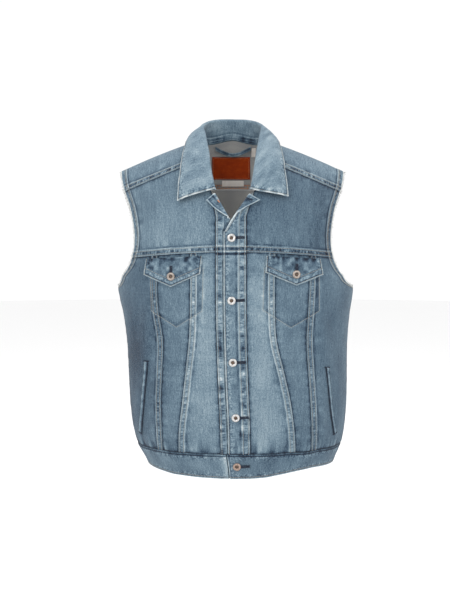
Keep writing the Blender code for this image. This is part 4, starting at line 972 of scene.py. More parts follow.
def front_yoke(hand, letter):
    """Front above the chest seam."""
    corner_x, corner_z = shoulder_corner()
    first = float(placket_line(hand, CHEST_SEAM))
    side = hand * float(armhole_x(chest_height(0.85)))
    shares = spread(abs(side - first), NEAR_SEAM, NEAR_FELL)
    bottom_x = first + (side - first) * shares
    half = section("half_width", CHEST_SEAM)
    bottom_z = chest_height((bottom_x - section("centre", CHEST_SEAM)) / half)
    bottom = np.stack((bottom_x, bottom_z), -1)
    neck = [(hand * x, z) for x, z in reversed(NECKLINE_FRONT)]
    seam = [(hand * SEAM_AT_NECK[0], SEAM_AT_NECK[1]), (hand * corner_x, corner_z)]
    top = np.where(
        (shares <= NECK_SHARE)[:, None],
        along(neck, np.clip(shares / NECK_SHARE, 0, 1)),
        along(seam, np.clip((shares - NECK_SHARE) / (1 - NECK_SHARE), 0, 1)),
    )
    ups = spread(abs(corner_z - bottom[-1, 1]), NEAR_FELL, NEAR_SEAM)
    inner_z = bottom[0, 1] + (top[0, 1] - bottom[0, 1]) * ups
    inner = np.stack((placket_line(hand, inner_z), inner_z), -1)
    outer_z = bottom[-1, 1] + (top[-1, 1] - bottom[-1, 1]) * ups
    outer = np.stack((hand * armhole_x(outer_z), outer_z), -1)
    bottom[-1] = outer[0]
    s, t = shares[None, :, None], ups[:, None, None]
    grid = (1 - t) * bottom[None] + t * top[None] + (1 - s) * inner[:, None] + s * outer[:, None]
    corners = (1 - s) * (1 - t) * bottom[0] + s * (1 - t) * bottom[-1]
    grid -= corners + (1 - s) * t * top[0] + s * t * top[-1]
    x, z = grid[..., 0], grid[..., 1]
    point, normal = front_skin(x, z)
    seed = 420 if hand > 0 else 430
    kinds = {
        "left": ("seam", seed),
        "right": ("band", seed + 1, BAND_ROWS[0]),
        "top": ("fell", seed + 3),
        "bottom": ("seam", seed + 2),
    }
    places = (angle_at(x, z) * ARC, z)
    tone = tone_and_shade_at(x, z, -1) + (0.02 if hand < 0 else -0.09)
    return Cloth("front_yoke_" + letter, (draw_in(point), normal), places, kinds, DENIM, tone)


def neck_start(share):
    """Edge of the back yoke at +X: the armhole (0), along the shoulder seam, over the ridge and
    round the neck to the middle of the back (3)."""
    corner_x = shoulder_corner()[0]
    if share <= 1:
        x = corner_x + (SEAM_AT_NECK[0] - corner_x) * share
        return x, profile_distance(x, shoulder_seam_height(x), -1)
    seam_w = profile_distance(SEAM_AT_NECK[0], SEAM_AT_NECK[1], -1)
    if share <= 2:
        return SEAM_AT_NECK[0] + (NECK_HALF - SEAM_AT_NECK[0]) * (share - 1), seam_w * (2 - share)
    turn = (share - 2) * math.pi / 2
    x = NECK_HALF * math.cos(turn)
    return x, distance_at_depth(x, RIDGE_Y + (NAPE_Y - RIDGE_Y) * math.sin(turn))


def back_yoke(end_x):
    """Back yoke, over the shoulders to the seams at their front."""
    on_seam = spread(150.0, NEAR_FELL, np.zeros(1))
    on_ridge, on_neck = np.linspace(1, 2, RIDGE_COLUMNS)[1:], np.linspace(2, 3, NECK_COLUMNS)[1:]
    half = np.concatenate((on_seam, on_ridge, on_neck))
    ends = end_x * np.interp(half, (0, 1, 2, 3), YOKE_END_SHARES)
    columns = []
    for share, x1 in zip(half, ends):
        x0, w0 = neck_start(share)
        z1 = yoke_height(x1 / float(section("half_width", YOKE_SEAM)))
        w1 = profile_distance(x1, float(z1), 1)
        near = NEAR_FELL / math.hypot(x1 - x0, w1 - w0)
        t = np.concatenate((near, np.linspace(near[-1], 1 - near[-1], YOKE_ROWS)[1:-1], 1 - near[::-1]))
        x, w = x0 + (x1 - x0) * t, w0 + (w1 - w0) * t
        columns.append((x + RIDGE_BULGE * np.clip(4 * t * (1 - t), 0, 1) * (x / end_x) ** 8, w))
    x, w = (np.array([column[k] for column in columns]).T for k in range(2))
    x = np.concatenate((-x, x[:, -2::-1]), axis=1)
    w = np.concatenate((w, w[:, -2::-1]), axis=1)
    point, normal = over_skin(x, w)
    side = np.where(w >= 0, 1, -1)
    kinds = {
        "left": ("band", 441, BAND_ROWS[0]),
        "right": ("band", 442, BAND_ROWS[0]),
        "top": ("fell", 443),
        "bottom": ("fell", 400),
    }
    tone = 0.02 + tone_and_shade_at(x, point[..., 2], side)
    return Cloth("back_yoke", (draw_in(point), normal), (x, w), kinds, DENIM, tone)


# Plackets and their lapels: the fold's foot and head, how far the lapel reaches at lengths along
# the fold, and its lean. The numbers are the CAD source's, but the right fold's foot lies lower.
LAPELS = {
    "l": (
        (-17.5, -187.3),
        (31.8, -115.6),
        ((0, 0.6), (40, 2.5), (60, 10), (75, 19), (87, 25.8)),
        -2.0,
    ),
    "r": (
        (-7.5, -162.0),
        (-34.6, -114.6),
        ((0, 1.5), (9, 6.5), (20, 12), (36, 18), (54.6, 22.4)),
        5.0,
    ),
}
LAPEL_FOOT, LAPEL_HEAD = LAPELS["l"][:2]
LAPEL_SLOPE = (LAPEL_HEAD[0] - LAPEL_FOOT[0]) / (LAPEL_HEAD[1] - LAPEL_FOOT[1])
TURN_CELLS = 8
FLAT_CELLS = 10
STRIP_CELLS = 16
EDGE_STRIP = 4.0
STRIP_EASE = 0.5
ROWS_STRIP = 170
ROWS_LAPEL = 40
UNDER_DROP = -2.7
UNDER_STEP = 1.1
UNDER_TAPER = 0.45
UNDER_BASE = 0.6


def under_step(z):
    """X where the under placket steps down behind the upper one."""
    beyond = np.clip(z - LAPEL_FOOT[1], 0, None) * LAPEL_SLOPE
    return section("placket", z) - UNDER_STEP - 1.0 + beyond


def placket_lift(hand, x, z):
    """How far a placket stands out. The under one drops behind the edge of the upper one."""
    if hand > 0:
        return np.full(np.shape(x), PLACKET_RISE)
    share = np.clip((x - (under_step(z) - UNDER_STEP)) / (2 * UNDER_STEP), 0, 1)
    return PLACKET_RISE * UNDER_BASE * (1 - share) + UNDER_DROP * share


def strip_row(hand, foot, z):
    """X of the places across a placket at a height below its lapel."""
    free = section("placket", z) + (0 if hand > 0 else UNDER_WIDTH - UNDER_SHOWS)
    if hand < 0:
        free = min(free, foot[0] + 1 + max(0, foot[1] - z) * UNDER_TAPER)
    start = placket_line(hand, z) - hand * STRIP_EASE
    near = free + hand * EDGE_STRIP
    if hand > 0:
        body = np.linspace(start, near, STRIP_CELLS + 1)
    else:
        step = under_step(z)
        before, after = min(step - UNDER_STEP, near - 3.0), min(step + UNDER_STEP, near - 1.5)
        body = (np.linspace(start, before, STRIP_CELLS - 3), np.linspace(after, near, 4))
        body = np.concatenate(body)
    return np.concatenate((body, np.linspace(near, free, TURN_CELLS + FLAT_CELLS + 1)[1:]))


def turned_lengths(reach):
    """Lengths along the curl and then the flat of a lapel that reaches so far."""
    radius, flat = CURL_RADIUS, CURL_RADIUS + PLACKET_CLOTH
    curl = math.pi * radius
    whole = reach * math.pi * radius / flat if reach < flat else curl + reach - flat
    turned = min(curl, whole * TURN_CELLS / (TURN_CELLS + FLAT_CELLS))
    flat_part = np.linspace(turned, whole, FLAT_CELLS + 1)[1:]
    return np.concatenate((np.linspace(0, turned, TURN_CELLS + 1), flat_part))


def placket_layers(hand, letter):
    """Outer and inner points of a placket, their places on the cloth and their calm: how much
    of the seams' relief each row may carry."""
    foot, head, reaches, lean = LAPELS[letter]
    foot, head = np.array(foot), np.array(head)
    run = head - foot
    length = np.linalg.norm(run)
    up = run / length
    out = np.array((-up[1], up[0])) * hand
    radius, cloth = CURL_RADIUS, PLACKET_CLOTH
    layers, places, calm = [[], []], [], []
    for z in np.linspace(HEM_SEAM, foot[1] - 2.5, ROWS_STRIP):
        x = strip_row(hand, foot, z)
        point, normal = front_skin(x, np.full(x.shape, z))
        for depth, kept in zip((0.0, cloth), layers):
            kept.append(point + normal * (placket_lift(hand, x, z) - depth)[:, None])
        places.append((x, np.full(x.shape, z)))
        calm.append(1.0)
    for share in np.linspace(0, 1, ROWS_LAPEL):
        centre = foot + run * share - out * (radius + cloth)
        reach = np.interp(share * length, [r[0] for r in reaches], [r[1] for r in reaches])
        away = turned_lengths(reach)
        z0 = foot[1] + (NECKLINE_FRONT[-1][1] - foot[1]) * share
        first = np.array((float(placket_line(hand, z0)) - hand * STRIP_EASE, z0))
        flatter = first + (centre - first) * np.linspace(0, 1, STRIP_CELLS + 1)[:, None]
        x, z = flatter.T
        body_point, body_normal = front_skin(x, z)
        turn = np.clip(away / radius, 0, math.pi)[1:]
        back = np.clip(away - math.pi * radius, 0, None)[1:]
        slant = -lean * share * back / max(reach, 1.0)
        base = float(placket_lift(hand, *centre))
        for depth, kept in zip((0.0, cloth), layers):
            body = body_point + body_normal * (placket_lift(hand, x, z) - depth)[:, None]
            sideways = (radius + depth) * np.sin(turn) - back
            height = radius - (radius + depth) * np.cos(turn)
            place = centre + sideways[:, None] * out + slant[:, None] * up
            point, normal = front_skin(place[:, 0], place[:, 1])
            kept.append(np.concatenate((body, point + normal * (base + height)[:, None])))
        across = np.concatenate((x, centre[0] - hand * away[1:]))
        places.append((across, np.full(across.shape, z0)))
        calm.append(float(ease(reach, 3.0, 14.0)))
    x, z = (np.array([p[k] for p in places]) for k in range(2))
    calm = np.minimum(np.array(calm)[:, None], ease(np.abs(z - foot[1]), 2.0, 14.0) + 0.15)
    return [draw_in(np.array(rows)) for rows in layers], (x, z), calm


def placket(hand, letter):
    (outer, inner), (x, z), calm = placket_layers(hand, letter)
    normal = unit(outer - inner)
    seed = 320 if hand > 0 else 340
    kinds = {
        "left": ("fell", seed + 5, PLACKET_FELL[letter]),
        "right": ("rim", seed + 6, RIM_ROW),
        "bottom": ("rim", seed + 7, RIM_ROW),
        "top": ("gather", seed + 8),
    }
    # The fronts' chest seam shows through, the folded edge ripples and the seam has squares. The tone
    # follows the chest seam's and the ripples' relief: painted highlights on the ridges, and painted
    # shade in the dips and in a dark line below the seam.
    below = chest_height(0.0) + FELL_WIDTH - z
    through = bell(below, 1.0, 1.8) + bell(below, 12.5, 1.8) - 2.0 * bell(below, 16.0, 2.2)
    through = through - (0.9 - 0.9 * wobble(x, 4.0, seed + 12)) * bell(below, 6.7, 3.0)
    ripple = wobble(z, 9.0, seed + 9) * bell(x, 22.0 if hand > 0 else -29.0, 9.0)
    squares = np.clip(wobble(z, 8.0, seed + 10) + 0.4 * wobble(z, 4.5, seed + 11), -1.2, 0.3)
    strip = bell(np.abs(x - float(placket_line(hand, -400.0))), 8.0, 5.5)
    tone = 0.05 + tone_and_shade_at(x, z, -1) + 0.22 * through + 0.10 * ripple
    tone = tone + (0.20 + 0.18 * ease(-z, 330.0, 480.0)) * squares * strip
    lift = (0.35 * through + 0.3 * ripple) * calm
    name, grid = "placket_" + letter, (outer, normal)
    return Cloth(name, grid, (x, z), kinds, PLACKET_CLOTH, tone, lift, inner, calm)


# Hem bands.
HEM_BOTTOM = (
    (-214.0, -679.0),
    (-142.0, -691.0),
    (-92.0, -694.0),
    (-9.0, -697.0),
    (40.0, -696.0),
    (73.0, -693.5),
    (106.0, -688.0),
    (139.0, -682.5),
    (173.0, -678.0),
    (222.0, -678.0),
)
HEM_BACK_BOTTOM = -694.0
HEM_MIDDLE = -665.0
HEM_NEAR = np.array((0, 1.0, 2.0, 3.2, 4.6, 6.5))
HEM_HEIGHT = 46.0

# Columns of each hem band, and how far past the plackets' edge the under band runs.
HEM_COLUMNS = {"left": 84, "right": 76, "back": 150}
HEM_CLOSE = np.array((0, 1.0, 2.0, 3.2, 4.6, 7.0))
HEM_UNDER = np.array((22.0, 16.0, 10.0, 5.0, -0.6, -2.6))


def hem_bottom(angle, side):
    """Height of the hem's foot at an angle."""
    x = section("centre", HEM_SEAM) + section("half_width", HEM_SEAM) * np.sin(angle)
    if side > 0:
        ends = 0.5 * (HEM_BOTTOM[0][1] + HEM_BOTTOM[-1][1])
        return HEM_BACK_BOTTOM + (ends - HEM_BACK_BOTTOM) * np.sin(angle) ** 6
    return np.interp(x, [r[0] for r in HEM_BOTTOM], [r[1] for r in HEM_BOTTOM])


def hem_band(name, angles, side, left, right, lifts=HEM_RISE):
    shares = spread(HEM_HEIGHT, HEM_NEAR, HEM_NEAR)
    top = hem_seam_height(np.sin(angles))
    z = top + (hem_bottom(angles, side) - top) * shares[:, None]
    a = np.broadcast_to(angles, z.shape)
    point, normal = skin(a, z)
    h = a * ARC
    tone = tone_and_shade_at(point[..., 0], z, side) - 0.05 * ease(point[..., 0], 0, 60)
    tone = tone + 0.10 * wobble(h, 9.0, 72) * bell(z, HEM_MIDDLE + 18, 9)
    # Painted shade along the gathered hem seam, at the top of the band.
    tone = tone - bell(z, top, 3.2) * (0.42 + 0.12 * wobble(h, 5.0, 73))
    lifts = np.broadcast_to(lifts, z.shape) + 0.7 * wobble(h, 34.0, 71) * bell(z, HEM_MIDDLE, 16)
    kinds = {"top": ("rim", 450, HEM_TOP_ROW), "bottom": ("rim", 451, HEM_FOOT_ROW)}
    kinds.update({"left": left, "right": right})
    return Cloth(name, (draw_in(point), normal), (h, z), kinds, HEM_CLOTH, tone, lifts)


def make_hem():
    edge = float(angle_at(section("placket", HEM_MIDDLE), HEM_MIDDLE))
    half = float(section("half_width", HEM_MIDDLE))
    close, under = HEM_CLOSE / half, edge + HEM_UNDER / half
    away = np.linspace(edge + close[-1], QUARTER, HEM_COLUMNS["left"])[1:]
    left = np.concatenate((edge + close, away))
    away = np.linspace(edge - 5.5 / half, -QUARTER, HEM_COLUMNS["right"])
    right = np.concatenate((under, away))
    drops = np.where(np.arange(len(right)) < len(under) - 1, UNDER_DROP, HEM_RISE)
    back = np.linspace(QUARTER, 3 * QUARTER, HEM_COLUMNS["back"])
    side_l, side_r = ("seam", 453), ("seam", 454)
    return (
        hem_band("hem_band_l", left, -1, ("rim", 452, RIM_ROW), side_l),
        hem_band("hem_band_r", right, -1, ("open", 0), side_r, drops),
        hem_band("hem_band_back", back, 1, side_l, side_r),
    )


# Collar, with the same numbers as in the CAD source.
COLLAR_COLUMNS = ("neck", "fold_x", "fold_y", "fold_z", "edge_x", "edge_y", "edge_z")
COLLAR = (
    (3.0, 0.0, 62.0, 50.5, 0.0, 90.0, -5.0),
    (2.78, 25.0, 59.0, 49.5, 31.0, 85.0, -6.0),
    (2.55, 45.0, 47.0, 46.0, 59.0, 67.0, -8.0),
    (2.28, 57.5, 30.0, 39.5, 82.0, 40.0, -7.0),
    (2.0, 61.5, 12.0, 32.0, 95.0, 10.0, -2.0),
    (1.72, 59.0, -6.0, 20.0, 99.5, -20.0, -12.0),
    (1.34, 54.0, -30.0, -1.0, 103.0, -49.0, -37.0),
    (0.93, 48.5, -62.0, -32.0, 106.0, -74.0, -64.0),
    (0.56, 43.5, -90.0, -68.0, 109.0, -90.0, -94.0),
    (0.22, 39.0, -107.0, -92.0, 110.5, -100.0, -115.0),
    (0.03, 36.0, -114.0, -105.0, 111.0, -106.0, -129.0),
)
COLLAR_FOLD = 3.6
COLLAR_SEAT = 2.0
COLLAR_LIFT = 0.8
COLLAR_STATIONS = 72
STAND_CELLS = 14
FOLD_CELLS = 8
LEAF_START = STAND_CELLS + FOLD_CELLS
FALL_BOW = 5.0
FALL_LENGTH = 50.0
FALL_NEAR = np.array((0, 1.0, 1.8, RIM_ROW, 3.4, 5.0))
LEFT_EDGE_RAISE = 9.0


def collar_rows():
    """Half of the collar: neck, fold and edge at each station, on smooth curves."""
    rows = np.array(COLLAR)
    last = len(rows) - 1
    close = last - np.array((0.09, 0.055, 0.025, 0))
    places = np.concatenate((np.linspace(0, last - 0.14, COLLAR_STATIONS - 3), close))
    columns = ("mark",) + COLLAR_COLUMNS
    listed = np.column_stack((np.arange(len(rows), dtype=float), rows))[::-1]
    made = np.stack([table(columns, listed, name, places) for name in COLLAR_COLUMNS], -1)
    base, normals = [], []
    for share in made[:, 0]:
        if share >= 1:
            place, cloth = neck_start(min(share, 3.0)), over
        else:
            place, cloth = along(NECKLINE_FRONT, [1 - share])[0], on_front
        low, high = cloth(*place, -DENIM / 2), cloth(*place, 1 - DENIM / 2)
        base.append(low)
        normals.append(high - low)
    base, normals = np.array(base), np.array(normals)
    ways = np.gradient(base, axis=0)
    ways[0] = (1, 0, 0)
    into = unit(np.cross(ways, normals))
    for _ in range(6):
        into[1:-1] = (into[:-2] + into[1:-1] * 2 + into[2:]) / 4
    return base + into * COLLAR_SEAT + normals * COLLAR_LIFT, made[:, 1:4], made[:, 4:7]


def collar_path(n, t, e, way, fall):
    """Places across the collar from the neck n over the fold t to the leaf's edge e."""
    way = way / np.linalg.norm(way)
    stand = t - n
    stand = stand - way * stand.dot(way)
    up = stand / np.linalg.norm(stand)
    over_side = np.cross(up, way)
    over_side = over_side * math.copysign(1, over_side.dot(e - n))
    middle = t - up * COLLAR_FOLD
    inside, outside = middle - over_side * COLLAR_FOLD, middle + over_side * COLLAR_FOLD
    path = [n + (inside - n) * k / STAND_CELLS for k in range(STAND_CELLS)]
    for k in range(FOLD_CELLS + 1):
        a = math.pi * k / FOLD_CELLS
        path.append(middle - over_side * COLLAR_FOLD * math.cos(a) + up * COLLAR_FOLD * math.sin(a))
    full = min(1.0, np.linalg.norm(e - t) / FALL_LENGTH)
    for share in fall:
        bow = over_side * FALL_BOW * math.sin(math.pi * share) * full
        path.append(outside + (e - outside) * share + bow)
    return path


def make_collar():
    neck, fold, edge = collar_rows()
    ways = np.gradient(fold, axis=0)
    ways[0] = (1, 0, 0)
    fall = spread(FALL_LENGTH, np.array((0, 2.5)), FALL_NEAR, 2.8)[1:]
    half = np.array([collar_path(*row, fall) for row in zip(neck, fold, edge, ways)])
    middle = np.concatenate((half[:0:-1] * np.array((-1, 1, 1)), half))
    stations, columns = middle.shape[:2]
    along_leaf = ease(np.arange(stations), stations * 0.72, stations - 1)
    across_leaf = ease(np.arange(columns), LEAF_START, columns - 1)
    middle[..., 2] += LEFT_EDGE_RAISE * along_leaf[:, None] * across_leaf[None]
    normal = unit(np.cross(np.gradient(middle, axis=0), np.gradient(middle, axis=1)))
    for _ in range(2):
        normal[1:-1] = (normal[:-2] + 2 * normal[1:-1] + normal[2:]) / 4
    normal = unit(normal)
    places = distances(middle)
    h, v = places["top"] - places["top"].mean(), places["right"]
    kinds = {edge: ("rim", seed, RIM_ROW) for edge, seed in zip(EDGES[1:], (461, 462, 463))}
    kinds["left"] = ("fell", 460)
    fallen = ease(np.arange(columns), STAND_CELLS + FOLD_CELLS * 0.4, LEAF_START + 1)
    # The seam band at the foot of the leaf is darker, with uneven dark marks, and the front edges
    # crease, with painted highlights on the creases' ridges and painted shade in their folds.
    tone = 0.08 + 0.03 * fallen + 0.03 * rumple(h, v, 40.0, 83)
    base_band = 1 - ease(places["left"], 11.0, 14.5)
    tone = tone - base_band * (0.30 - 0.22 * (wobble(h, 8.0, 84) + 0.6 * wobble(h, 3.6, 85)))
    end = np.minimum(places["top"], places["bottom"])
    creased = wobble(v, 6.5, 86) + 0.5 * wobble(v, 3.0, 87)
    creased = creased * np.exp(-np.square(end / 8.0)) * fallen
    soft = 0.55 * rumple(h, v, 19.0, 81) + 0.8 * rumple(h, v, 48.0, 82)
    lift = (soft + 0.6 * creased) * ease(places["left"], 8, 25)
    grid = (middle + normal * COLLAR_CLOTH / 2, normal)
    # The crease tone is painted light and shade that follows the creases' relief.
    return Cloth("collar", grid, (h, v), kinds, COLLAR_CLOTH, tone + 0.16 * creased, lift)


# Pieces that lie on the fronts.
FLAP_LIFT = 1.5
FLAPS = {
    "r": ((-60.0, -238.5), (-174.0, -245.5), (-64.8, -274.6), (-178.6, -277.6), (-123.9, -301.0)),
    "l": ((66.0, -238.5), (176.5, -245.5), (64.6, -271.9), (181.7, -277.5), (126.8, -298.0)),
}
FLAP_BAND = 14.0
FLAP_NEAR = np.array((0, 1.0, 1.8, RIM_ROW, 3.4, 5, 7, 9.5, 12.6, FLAP_BAND, 15.4))
WELT_WIDTH = 8.0
WELT_LIFT = 0.6
WELT_LINES = 74
WELT_COLUMNS = 9
WELTS = {"r": ((-175.6, -454.4), (-191.8, -608.6)), "l": ((192.0, -466.7), (213.5, -608.6))}


def flap(letter):
    top_in, top_out, low_in, low_out, point = (np.array(p) for p in FLAPS[letter])
    half = spread(58.0, np.array((0, 1.0, RIM_ROW, 4.0)), np.array((0.0, 2.0)), 2.2) / 2
    s = np.concatenate((half, 1 - half[-2::-1]))[:, None]
    rows = spread(48.0, np.zeros(1), FLAP_NEAR, 2.2)
    top = top_in + (top_out - top_in) * s
    inner_part, outer_part = low_in + (point - low_in) * s * 2, point + (low_out - point) * (s * 2 - 1)
    low = np.where(s <= 0.5, inner_part, outer_part)
    grid = np.array([top + (low - top) * t for t in rows])
    x, z = grid[..., 0], grid[..., 1]
    point, normal = front_skin(x, z)
    near = distances(point)
    top, foot = near["top"], near["bottom"]
    seed = 470 if letter == "r" else 480
    rims = enumerate(("left", "right", "bottom"))
    kinds = {edge: ("rim", seed + k, RIM_ROW) for k, edge in rims}
    puffed = 1.0 * rumple(x, z, 8.5, seed + 5) + 0.7 * rumple(x, z, 19.0, seed + 6)
    puffed = puffed * ease(foot, 13, 19) * ease(near["left"], 3, 9) * ease(near["right"], 3, 9)
    gathers = (wobble(x, 9.0, seed + 8) + 0.6 * wobble(x, 4.5, seed + 9)) * np.exp(-top / 11)
    puffed = puffed + 0.9 * gathers
    puffed = puffed - 0.5 * bell(foot, FLAP_BAND, 1.0) + 0.5 * bell(foot, 8.0, 3.5)
    streaks = wobble(x, 5.0, seed + 7) * np.exp(-top / 20) + 0.5 * rumple(x, z, 6.0, seed + 7)
    # Painted shadow under the chest seam along the flap's top, pale and dark streaks of painted pucker
    # shade below it, and the gathers painted lighter where they rise and darker in their dips.
    tone = -0.02 + 0.07 * streaks - 0.20 * bell(top, 0, 8) + 0.10 * gathers
    lift, inner = FLAP_LIFT + FLAP_CLOTH + puffed, point + normal * FLAP_LIFT
    return Cloth("flap_" + letter, (point, normal), (x, z), kinds, FLAP_CLOTH, tone, lift, inner)


def welt(letter):
    head, foot = (np.array(p) for p in WELTS[letter])
    way = (foot - head) / np.linalg.norm(foot - head)
    across = np.array((-way[1], way[0]))
    lines = np.array([head + (foot - head) * t for t in np.linspace(0, 1, WELT_LINES)])
    half = WELT_WIDTH / 2
    grid = lines[:, None] + across * np.linspace(-half, half, WELT_COLUMNS)[None, :, None]
    x, z = grid[..., 0], grid[..., 1]
    point, normal = front_skin(x, z)
    near = distances(point)
    seed = 490 if letter == "r" else 494
    folded = 0.7 * bell(near["left"], 3.4, 2.2) + 0.45 * wobble(z, 9.0, seed)
    opening = near["right"] if letter == "r" else near["left"]
    # Painted shade along the pocket's opening.
    tone = 0.02 + 0.07 * wobble(z, 8.0, seed + 3) - 0.45 * bell(opening, 0.5, 2.0)
    lift, inner = WELT_LIFT + DENIM + folded, point + normal * WELT_LIFT
    return Cloth("welt_" + letter, (point, normal), (x, z), {}, DENIM, tone, lift, inner)


# Materials. All are node materials, in millimetres of the cloth where a piece carries places.


class Value:
    """A number in a shader, which + - * join into nodes."""

    def __init__(self, tree, source):
        self.tree, self.source = tree, source

    def join(self, operation, *others):
        made = self.tree.nodes.new("ShaderNodeMath")
        made.operation = operation
        for socket, value in zip(made.inputs, (self,) + others):
            feed(self.tree, value, socket)
        return Value(self.tree, made.outputs[0])

    def __add__(self, other):
        return self.join("ADD", other)

    def __mul__(self, other):
        return self.join("MULTIPLY", other)

    def __sub__(self, other):
        return self.join("SUBTRACT", other)

    __radd__ = __add__
    __rmul__ = __mul__

    def bell(self, middle, width):
        away = (self - middle) * (1.0 / width)
        return (away * away * -1.0).join("EXPONENT")

    def decay(self, width):
        return (self * (-1.0 / width)).join("EXPONENT")

    def below(self, low, high):
        made = self.tree.nodes.new("ShaderNodeMapRange")
        made.interpolation_type = "SMOOTHSTEP"
        feed(self.tree, self, made.inputs["Value"])
        made.inputs["From Min"].default_value = low
        made.inputs["From Max"].default_value = high
        made.inputs["To Min"].default_value = 1.0
        made.inputs["To Max"].default_value = 0.0
        return Value(self.tree, made.outputs[0])


def feed(tree, value, socket):
    if isinstance(value, Value):
        tree.links.new(value.source, socket)
    else:
        socket.default_value = value


def new_material(name):
    made = bpy.data.materials.new(name)
    made.use_nodes = True
    return made, made.node_tree, made.node_tree.nodes["Principled BSDF"]


def attribute(tree, name):
    made = tree.nodes.new("ShaderNodeAttribute")
    made.attribute_name = name
    parts = tree.nodes.new("ShaderNodeSeparateXYZ")
    tree.links.new(made.outputs["Vector"], parts.inputs[0])
    return [Value(tree, socket) for socket in parts.outputs]


def noise(tree, places, pitches, detail=2.0, roughness=0.5):
    """Noise from 0 to 1. Each place is divided by its pitch, and a bare number is a shift."""
    made = tree.nodes.new("ShaderNodeTexNoise")
    made.inputs["Scale"].default_value = 1.0
    made.inputs["Detail"].default_value = detail
    made.inputs["Roughness"].default_value = roughness
    join_place(tree, places, pitches, made)
    return Value(tree, made.outputs[0])


def join_place(tree, places, pitches, texture):
    place = tree.nodes.new("ShaderNodeCombineXYZ")
    for socket, value, pitch in zip(place.inputs, places, pitches):
        feed(tree, value * (1 / pitch), socket)
    tree.links.new(place.outputs[0], texture.inputs["Vector"])


def ramp(tree, value, stops):
    made = tree.nodes.new("ShaderNodeValToRGB")
    feed(tree, value, made.inputs[0])
    elements = made.color_ramp.elements
    while len(elements) < len(stops):
        elements.new(0.5)
    for element, (place, colour) in zip(elements, stops):
        element.position = place
        element.color = (*colour, 1.0)
    return made.outputs[0]


def finish_shader(tree, shader, value, stops, roughness, specular, height, strength, depth):
    """Colour a shader by a ramp, and bump it: strength, and depth in millimetres."""
    tree.links.new(ramp(tree, value, stops), shader.inputs["Base Color"])
    feed(tree, roughness, shader.inputs["Roughness"])
    if specular is not None:
        shader.inputs["Specular IOR Level"].default_value = specular
    made = tree.nodes.new("ShaderNodeBump")
    made.inputs["Strength"].default_value = strength
    made.inputs["Distance"].default_value = depth * MM
    feed(tree, height, made.inputs["Height"])
    tree.links.new(made.outputs[0], shader.inputs["Normal"])


# Colours of the cloth from its darkest to its palest, and of its reverse, the leather patch and
# the label tape.
DENIM_STOPS = (
    (0.0, (0.004, 0.009, 0.021)),
    (0.2, (0.020, 0.043, 0.074)),
    (0.4, (0.074, 0.121, 0.165)),
    (0.55, (0.137, 0.202, 0.252)),
    (0.72, (0.240, 0.311, 0.353)),
    (1.0, (0.540, 0.590, 0.605)),
)
BACK_STOPS = (
    (0.0, (0.12, 0.15, 0.18)),
    (0.35, (0.28, 0.29, 0.30)),
    (0.6, (0.43, 0.42, 0.40)),
    (1.0, (0.64, 0.61, 0.56)),
)
LEATHER_STOPS = (
    (0.1, (0.17, 0.018, 0.002)),
    (0.5, (0.33, 0.038, 0.003)),
    (0.9, (0.46, 0.078, 0.008)),
)
LABEL_STOPS = (
    (0.1, (0.58, 0.53, 0.49)),
    (0.5, (0.78, 0.73, 0.68)),
    (0.9, (0.90, 0.87, 0.82)),
)
TWILL_PITCH = 1.3
TWILL_SLOPE = 0.62
SHEEN = 0.10
SHEEN_ROUGHNESS = 0.6

# How dark the rungs between the two rows of a felled seam are, and how much painted shade darkens their
# middle, upright and across.
LADDERS = {"v": (0.42, 0.04), "h": (0.62, 0.16)}


def twill(h, v, lean=1.0):
    """Diagonal ribs of the weave, -1 to 1."""
    return ((h * lean + v * TWILL_SLOPE) * (2 * math.pi / TWILL_PITCH)).join("SINE")


def seam_marks(tree, s, fell, seam, ladder, dip_shade):
    """Pale and dark marks of one direction's seams, with s the place along them: rungs and pucker
    marks, painted shade in the middle of the fell, just past its edge and along the seam beside it, and
    painted highlights on its folded edges.
    """
    rung = (noise(tree, (s, fell, 11.0), (3.4, 12, 1)) - 0.5) * 3.0
    soft = (noise(tree, (s, seam, 17.0), (12.0, 40, 1), detail=3.0) - 0.5) * 2.6
    inside = fell.below(FELL_WIDTH, FELL_WIDTH + 1.2)
    marks = inside * (rung * fell.bell(6.5, 3.8) * ladder - fell.bell(6.5, 3.8) * dip_shade)
    # Painted highlights on the fell's two folded edges, painted shade just past it, and painted shade
    # at the seam line that runs into it.
    marks = marks + fell.bell(0.7, 1.2) * 0.14 + fell.bell(12.6, 1.1) * 0.14
    marks = marks - fell.bell(15.6, 1.8) * (soft * 0.20 + 0.08)
    marks = marks + fell.bell(22.0, 8.0) * soft * 0.16
    return marks - seam.decay(2.0) * 0.44 - seam.decay(9.0) * 0.06 + seam.decay(12.0) * soft * 0.24


